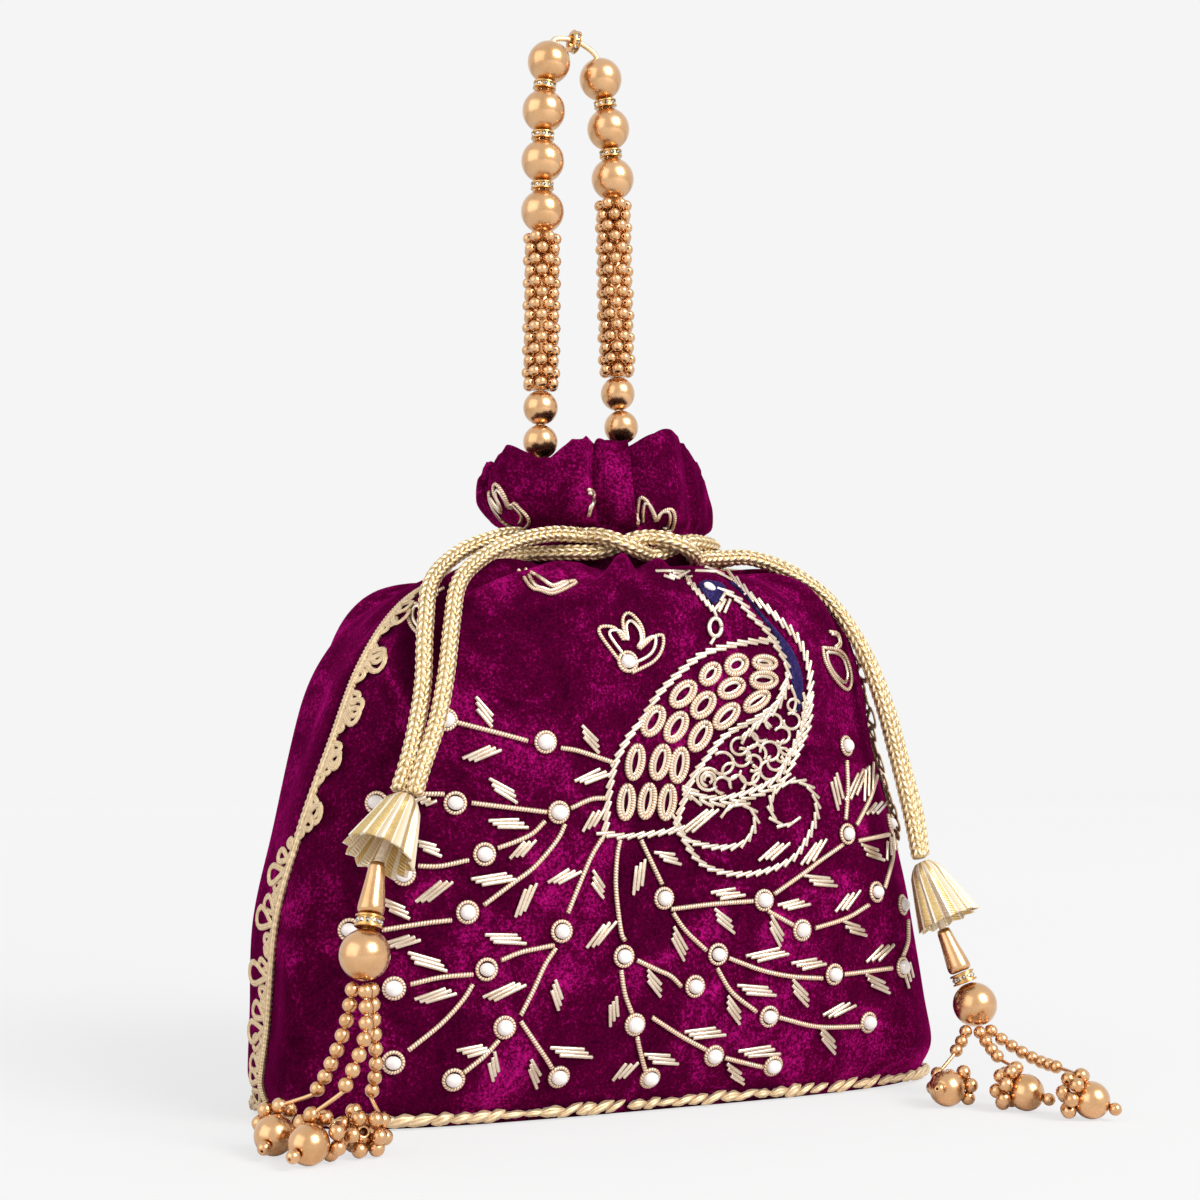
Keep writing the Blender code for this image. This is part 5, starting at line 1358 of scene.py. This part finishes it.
# coiled wire: stems, the feathers' outlines and the flowers' outlines; each feather is two ovals
featherEdges = {"outline": 2.2, "heart": 6.0}
t = np.linspace(0, 2 * np.pi, 22)
ovals, hearts = [], []
for x, y, length, width, turn in feathers:
    way = np.array([math.cos(math.radians(turn)), math.sin(math.radians(turn))])
    side = np.array([-way[1], way[0]])
    for edge, lines in ((featherEdges["outline"], ovals), (featherEdges["heart"], hearts)):
        lines.append(np.array([x, y]) + np.cos(t)[:, None] * way * (length / 2 - edge)
                     + np.sin(t)[:, None] * side * (width / 2 - edge))
coils = joinForms([rings, laidThreads(stemRoutes, threads["coil"]),
                   laidThreads(ovals, threads["coil"] * 1.1), laidThreads(butis, threads["coil"] * 0.8)])
putPiece("coiledWireEmbroidery", coils, coilGold, ["peacock_embroidery"])

# cut tubes: leaves in threes, edges of the bird, its head and its curls
leafThrees = {"aside": (-3.5, 0.0, 3.5), "slide": (-4.5, 0.0, 4.5), "spread": 1.1, "jitter": 0.8}
# each roped edge: its route, then spacing, length and slant of its tubes, and how far they lie aside
ropedEdges = [(wingEdge, 10.5, 21, 16), (tailEdge, 10.0, 19, -16), (lowerEdge, 10.0, 20, 15),
              (breastEdge, 9.5, 18, -16), (breastEdge, 9.5, 15, 16, -6), (neckOuter, 10.0, 20, 18),
              (neckInner, 10.0, 18, -16), (headEdge, 7.0, 13, 18), (curlRoutes[0], 9.5, 17, -17),
              (curlRoutes[1], 9.5, 17, -17)]
leafWay = unit(leafTubes[:, 2:] - leafTubes[:, :2])
leafSide = np.stack([-leafWay[:, 1], leafWay[:, 0]], -1)
starts, stops = [], []
for aside, slide in zip(leafThrees["aside"], leafThrees["slide"]):
    jitter = random.uniform(-leafThrees["jitter"], leafThrees["jitter"], (len(leafTubes), 2))
    starts.append(leafTubes[:, :2] + leafSide * aside + leafWay * slide + jitter)
    stops.append(leafTubes[:, 2:] + leafSide * aside * leafThrees["spread"] + leafWay * slide - jitter)
starts.append(headTubes[:, :2])
stops.append(headTubes[:, 2:])
for edge in ropedEdges:
    a, b = roped(*edge)
    starts.append(a)
    stops.append(b)
cutTubes = laidTubes(np.concatenate(starts), np.concatenate(stops), threads["tube"])
putPiece("cutTubeEmbroidery", cutTubes, paleGold)

# smooth wire: rings on the breast, arcs by the neck and the lines inside the flowers
t = np.radians(np.linspace(0, 280, 14))
arcs = [np.array([x, y]) + r * np.stack([np.cos(t + k), np.sin(t + k)], -1)
        for k, (x, y, r) in enumerate(breastRings)]
inside = []
for outline in butis:
    shape = np.array(outline, float)
    inside.append(shape.mean(0) + (shape - shape.mean(0)) * 0.72)
ringShape = np.stack([dropRing["width"] * np.cos(t * 1.27), dropRing["height"] * np.sin(t * 1.27)], -1)
ringRoute = np.array(dropRing["middle"]) + ringShape
smooth = joinForms([laidThreads(arcs + smoothArcs + inside + hearts, threads["fine"], spacing=2.5),
                    laidThreads([ringRoute], threads["fine"] * 1.3, spacing=2.5)])
putPiece("smoothWireEmbroidery", smooth, paleGold)

# blue stitched patches: a low pillow between two routes, half a sine high across it
pillow = {"rows": 26, "columns": 8, "lift": 0.0004, "height": 0.0005, "sunk": 0.0003}
pillows = []
for left, right in bluePatches.values():
    sides = [smoothRoute(np.array(line, float), 0.5) for line in (left, right)]
    sides = [line[np.linspace(0, len(line) - 1, pillow["rows"]).astype(int)] for line in sides]
    across = np.linspace(0, 1, pillow["columns"])[None, :, None]
    seen = sides[0][:, None] * (1 - across) + sides[1][:, None] * across
    place, normal = [spots.reshape(*seen.shape[:2], 3) for spots in onVelvet(seen.reshape(-1, 2))]
    raised = place + normal * (pillow["lift"] + pillow["height"] * np.sin(np.pi * across))
    sunk = place - normal * pillow["sunk"]
    pillows.append(gridForm(np.concatenate([raised, sunk[:, ::-1]], 1), closedColumns=True, capStart=True,
                            capEnd=True))
putPiece("blueStitchedPatches", joinForms(pillows), indigo)
eyePlace, eyeNormal = onVelvet(np.array([eyePearl["place"]]))
eye = scatterForm(pearlBall, eyePlace + eyeNormal * eyePearl["lift"], framesAlong(eyeNormal, (0.5, 0, 0.8)),
                  np.array([eyePearl["size"]]))
putPiece("eyePearl", eye, pearlWhite)
print("embroidery made")


# Stage: a floor whose paper glows for the camera by the distance from the bag, to make up for the lamps'
# fall-off, and a world that is pale to camera, gloss and glass and dimmer as light
paperLook = {"half": 6.0, "grey": 0.86, "glow": 1.15, "share": 0.75, "reach": 4.0,
             "levels": ((0.0, 0.789), (1.0, 0.902), (0.075, 0.805), (0.16, 0.821), (0.255, 0.844),
                        (0.44, 0.870), (0.715, 0.889))}
worldLook = {"grey": 0.913, "light": 0.62, "seen": 1.0}
lamps = {"key": {"from": (0.62, 0.62, 0.60), "distance": 2.7, "size": 1.35, "watts": 67.0},
         "fill": {"from": (-0.75, 0.35, 0.55), "distance": 3.3, "size": 3.4, "watts": 38.0}}
lampAim = (0.0, 0.0, 0.10)

half = paperLook["half"]
floorMesh = bpy.data.meshes.new("floor")
corners = [(-half, -half, 0), (half, -half, 0), (half, half, 0), (-half, half, 0)]
floorMesh.from_pydata(corners, [], [(0, 1, 2, 3)])
floor = bpy.data.objects.new("floor", floorMesh)
bpy.context.scene.collection.objects.link(floor)
floor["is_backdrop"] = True
paper = Surface("palePaper")
paper.plain(Base_Color=(*[paperLook["grey"]] * 3, 1.0), Roughness=0.9, Specular_IOR_Level=0.1)
farness = paper.add("ShaderNodeVectorMath", [(0, paper.place.outputs["Object"])], operation="LENGTH")
farShare = paper.maths("DIVIDE", farness.outputs["Value"], paperLook["reach"])
glowLevel = paper.ramp(farShare, [(at, (grey, grey, grey)) for at, grey in paperLook["levels"]])
glow = paper.add("ShaderNodeEmission", [("Color", glowLevel)], Strength=paperLook["glow"])
rays = paper.add("ShaderNodeLightPath")
share = paper.times(rays.outputs["Is Camera Ray"], paperLook["share"])
blend = paper.add("ShaderNodeMixShader", [(0, share), (1, paper.shader.outputs[0]), (2, glow.outputs[0])])
paper.tree.links.new(blend.outputs[0], paper.tree.nodes["Material Output"].inputs["Surface"])
floorMesh.materials.append(paper.material)

world = bpy.data.worlds.new("studio")
world.use_nodes = True
bpy.context.scene.world = world
studio = world.node_tree
backdrop = studio.nodes["Background"]
backdrop.inputs["Color"].default_value = (*[worldLook["grey"]] * 3, 1.0)
rays = studio.nodes.new("ShaderNodeLightPath")
seenBy = rays.outputs["Is Camera Ray"]
for ray in ("Is Glossy Ray", "Is Transmission Ray"):
    either = studio.nodes.new("ShaderNodeMath")
    either.operation = "MAXIMUM"
    studio.links.new(seenBy, either.inputs[0])
    studio.links.new(rays.outputs[ray], either.inputs[1])
    seenBy = either.outputs[0]
level = studio.nodes.new("ShaderNodeMapRange")
level.inputs["To Min"].default_value = worldLook["light"]
level.inputs["To Max"].default_value = worldLook["seen"]
studio.links.new(seenBy, level.inputs["Value"])
studio.links.new(level.outputs["Result"], backdrop.inputs["Strength"])

for name, lamp in lamps.items():
    right, up, near = lamp["from"]
    way = unit(right * sightRight + up * upright - near * sightLine)
    data = bpy.data.lights.new(name, "AREA")
    data.energy, data.size = lamp["watts"], lamp["size"]
    light = bpy.data.objects.new(name, data)
    light.location = np.array(lampAim) + way * lamp["distance"]
    light.rotation_euler = Vector(-way).to_track_quat("-Z", "Y").to_euler()
    bpy.context.scene.collection.objects.link(light)
bpy.context.scene.view_settings.view_transform = "Standard"
print("stage made")

low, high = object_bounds()
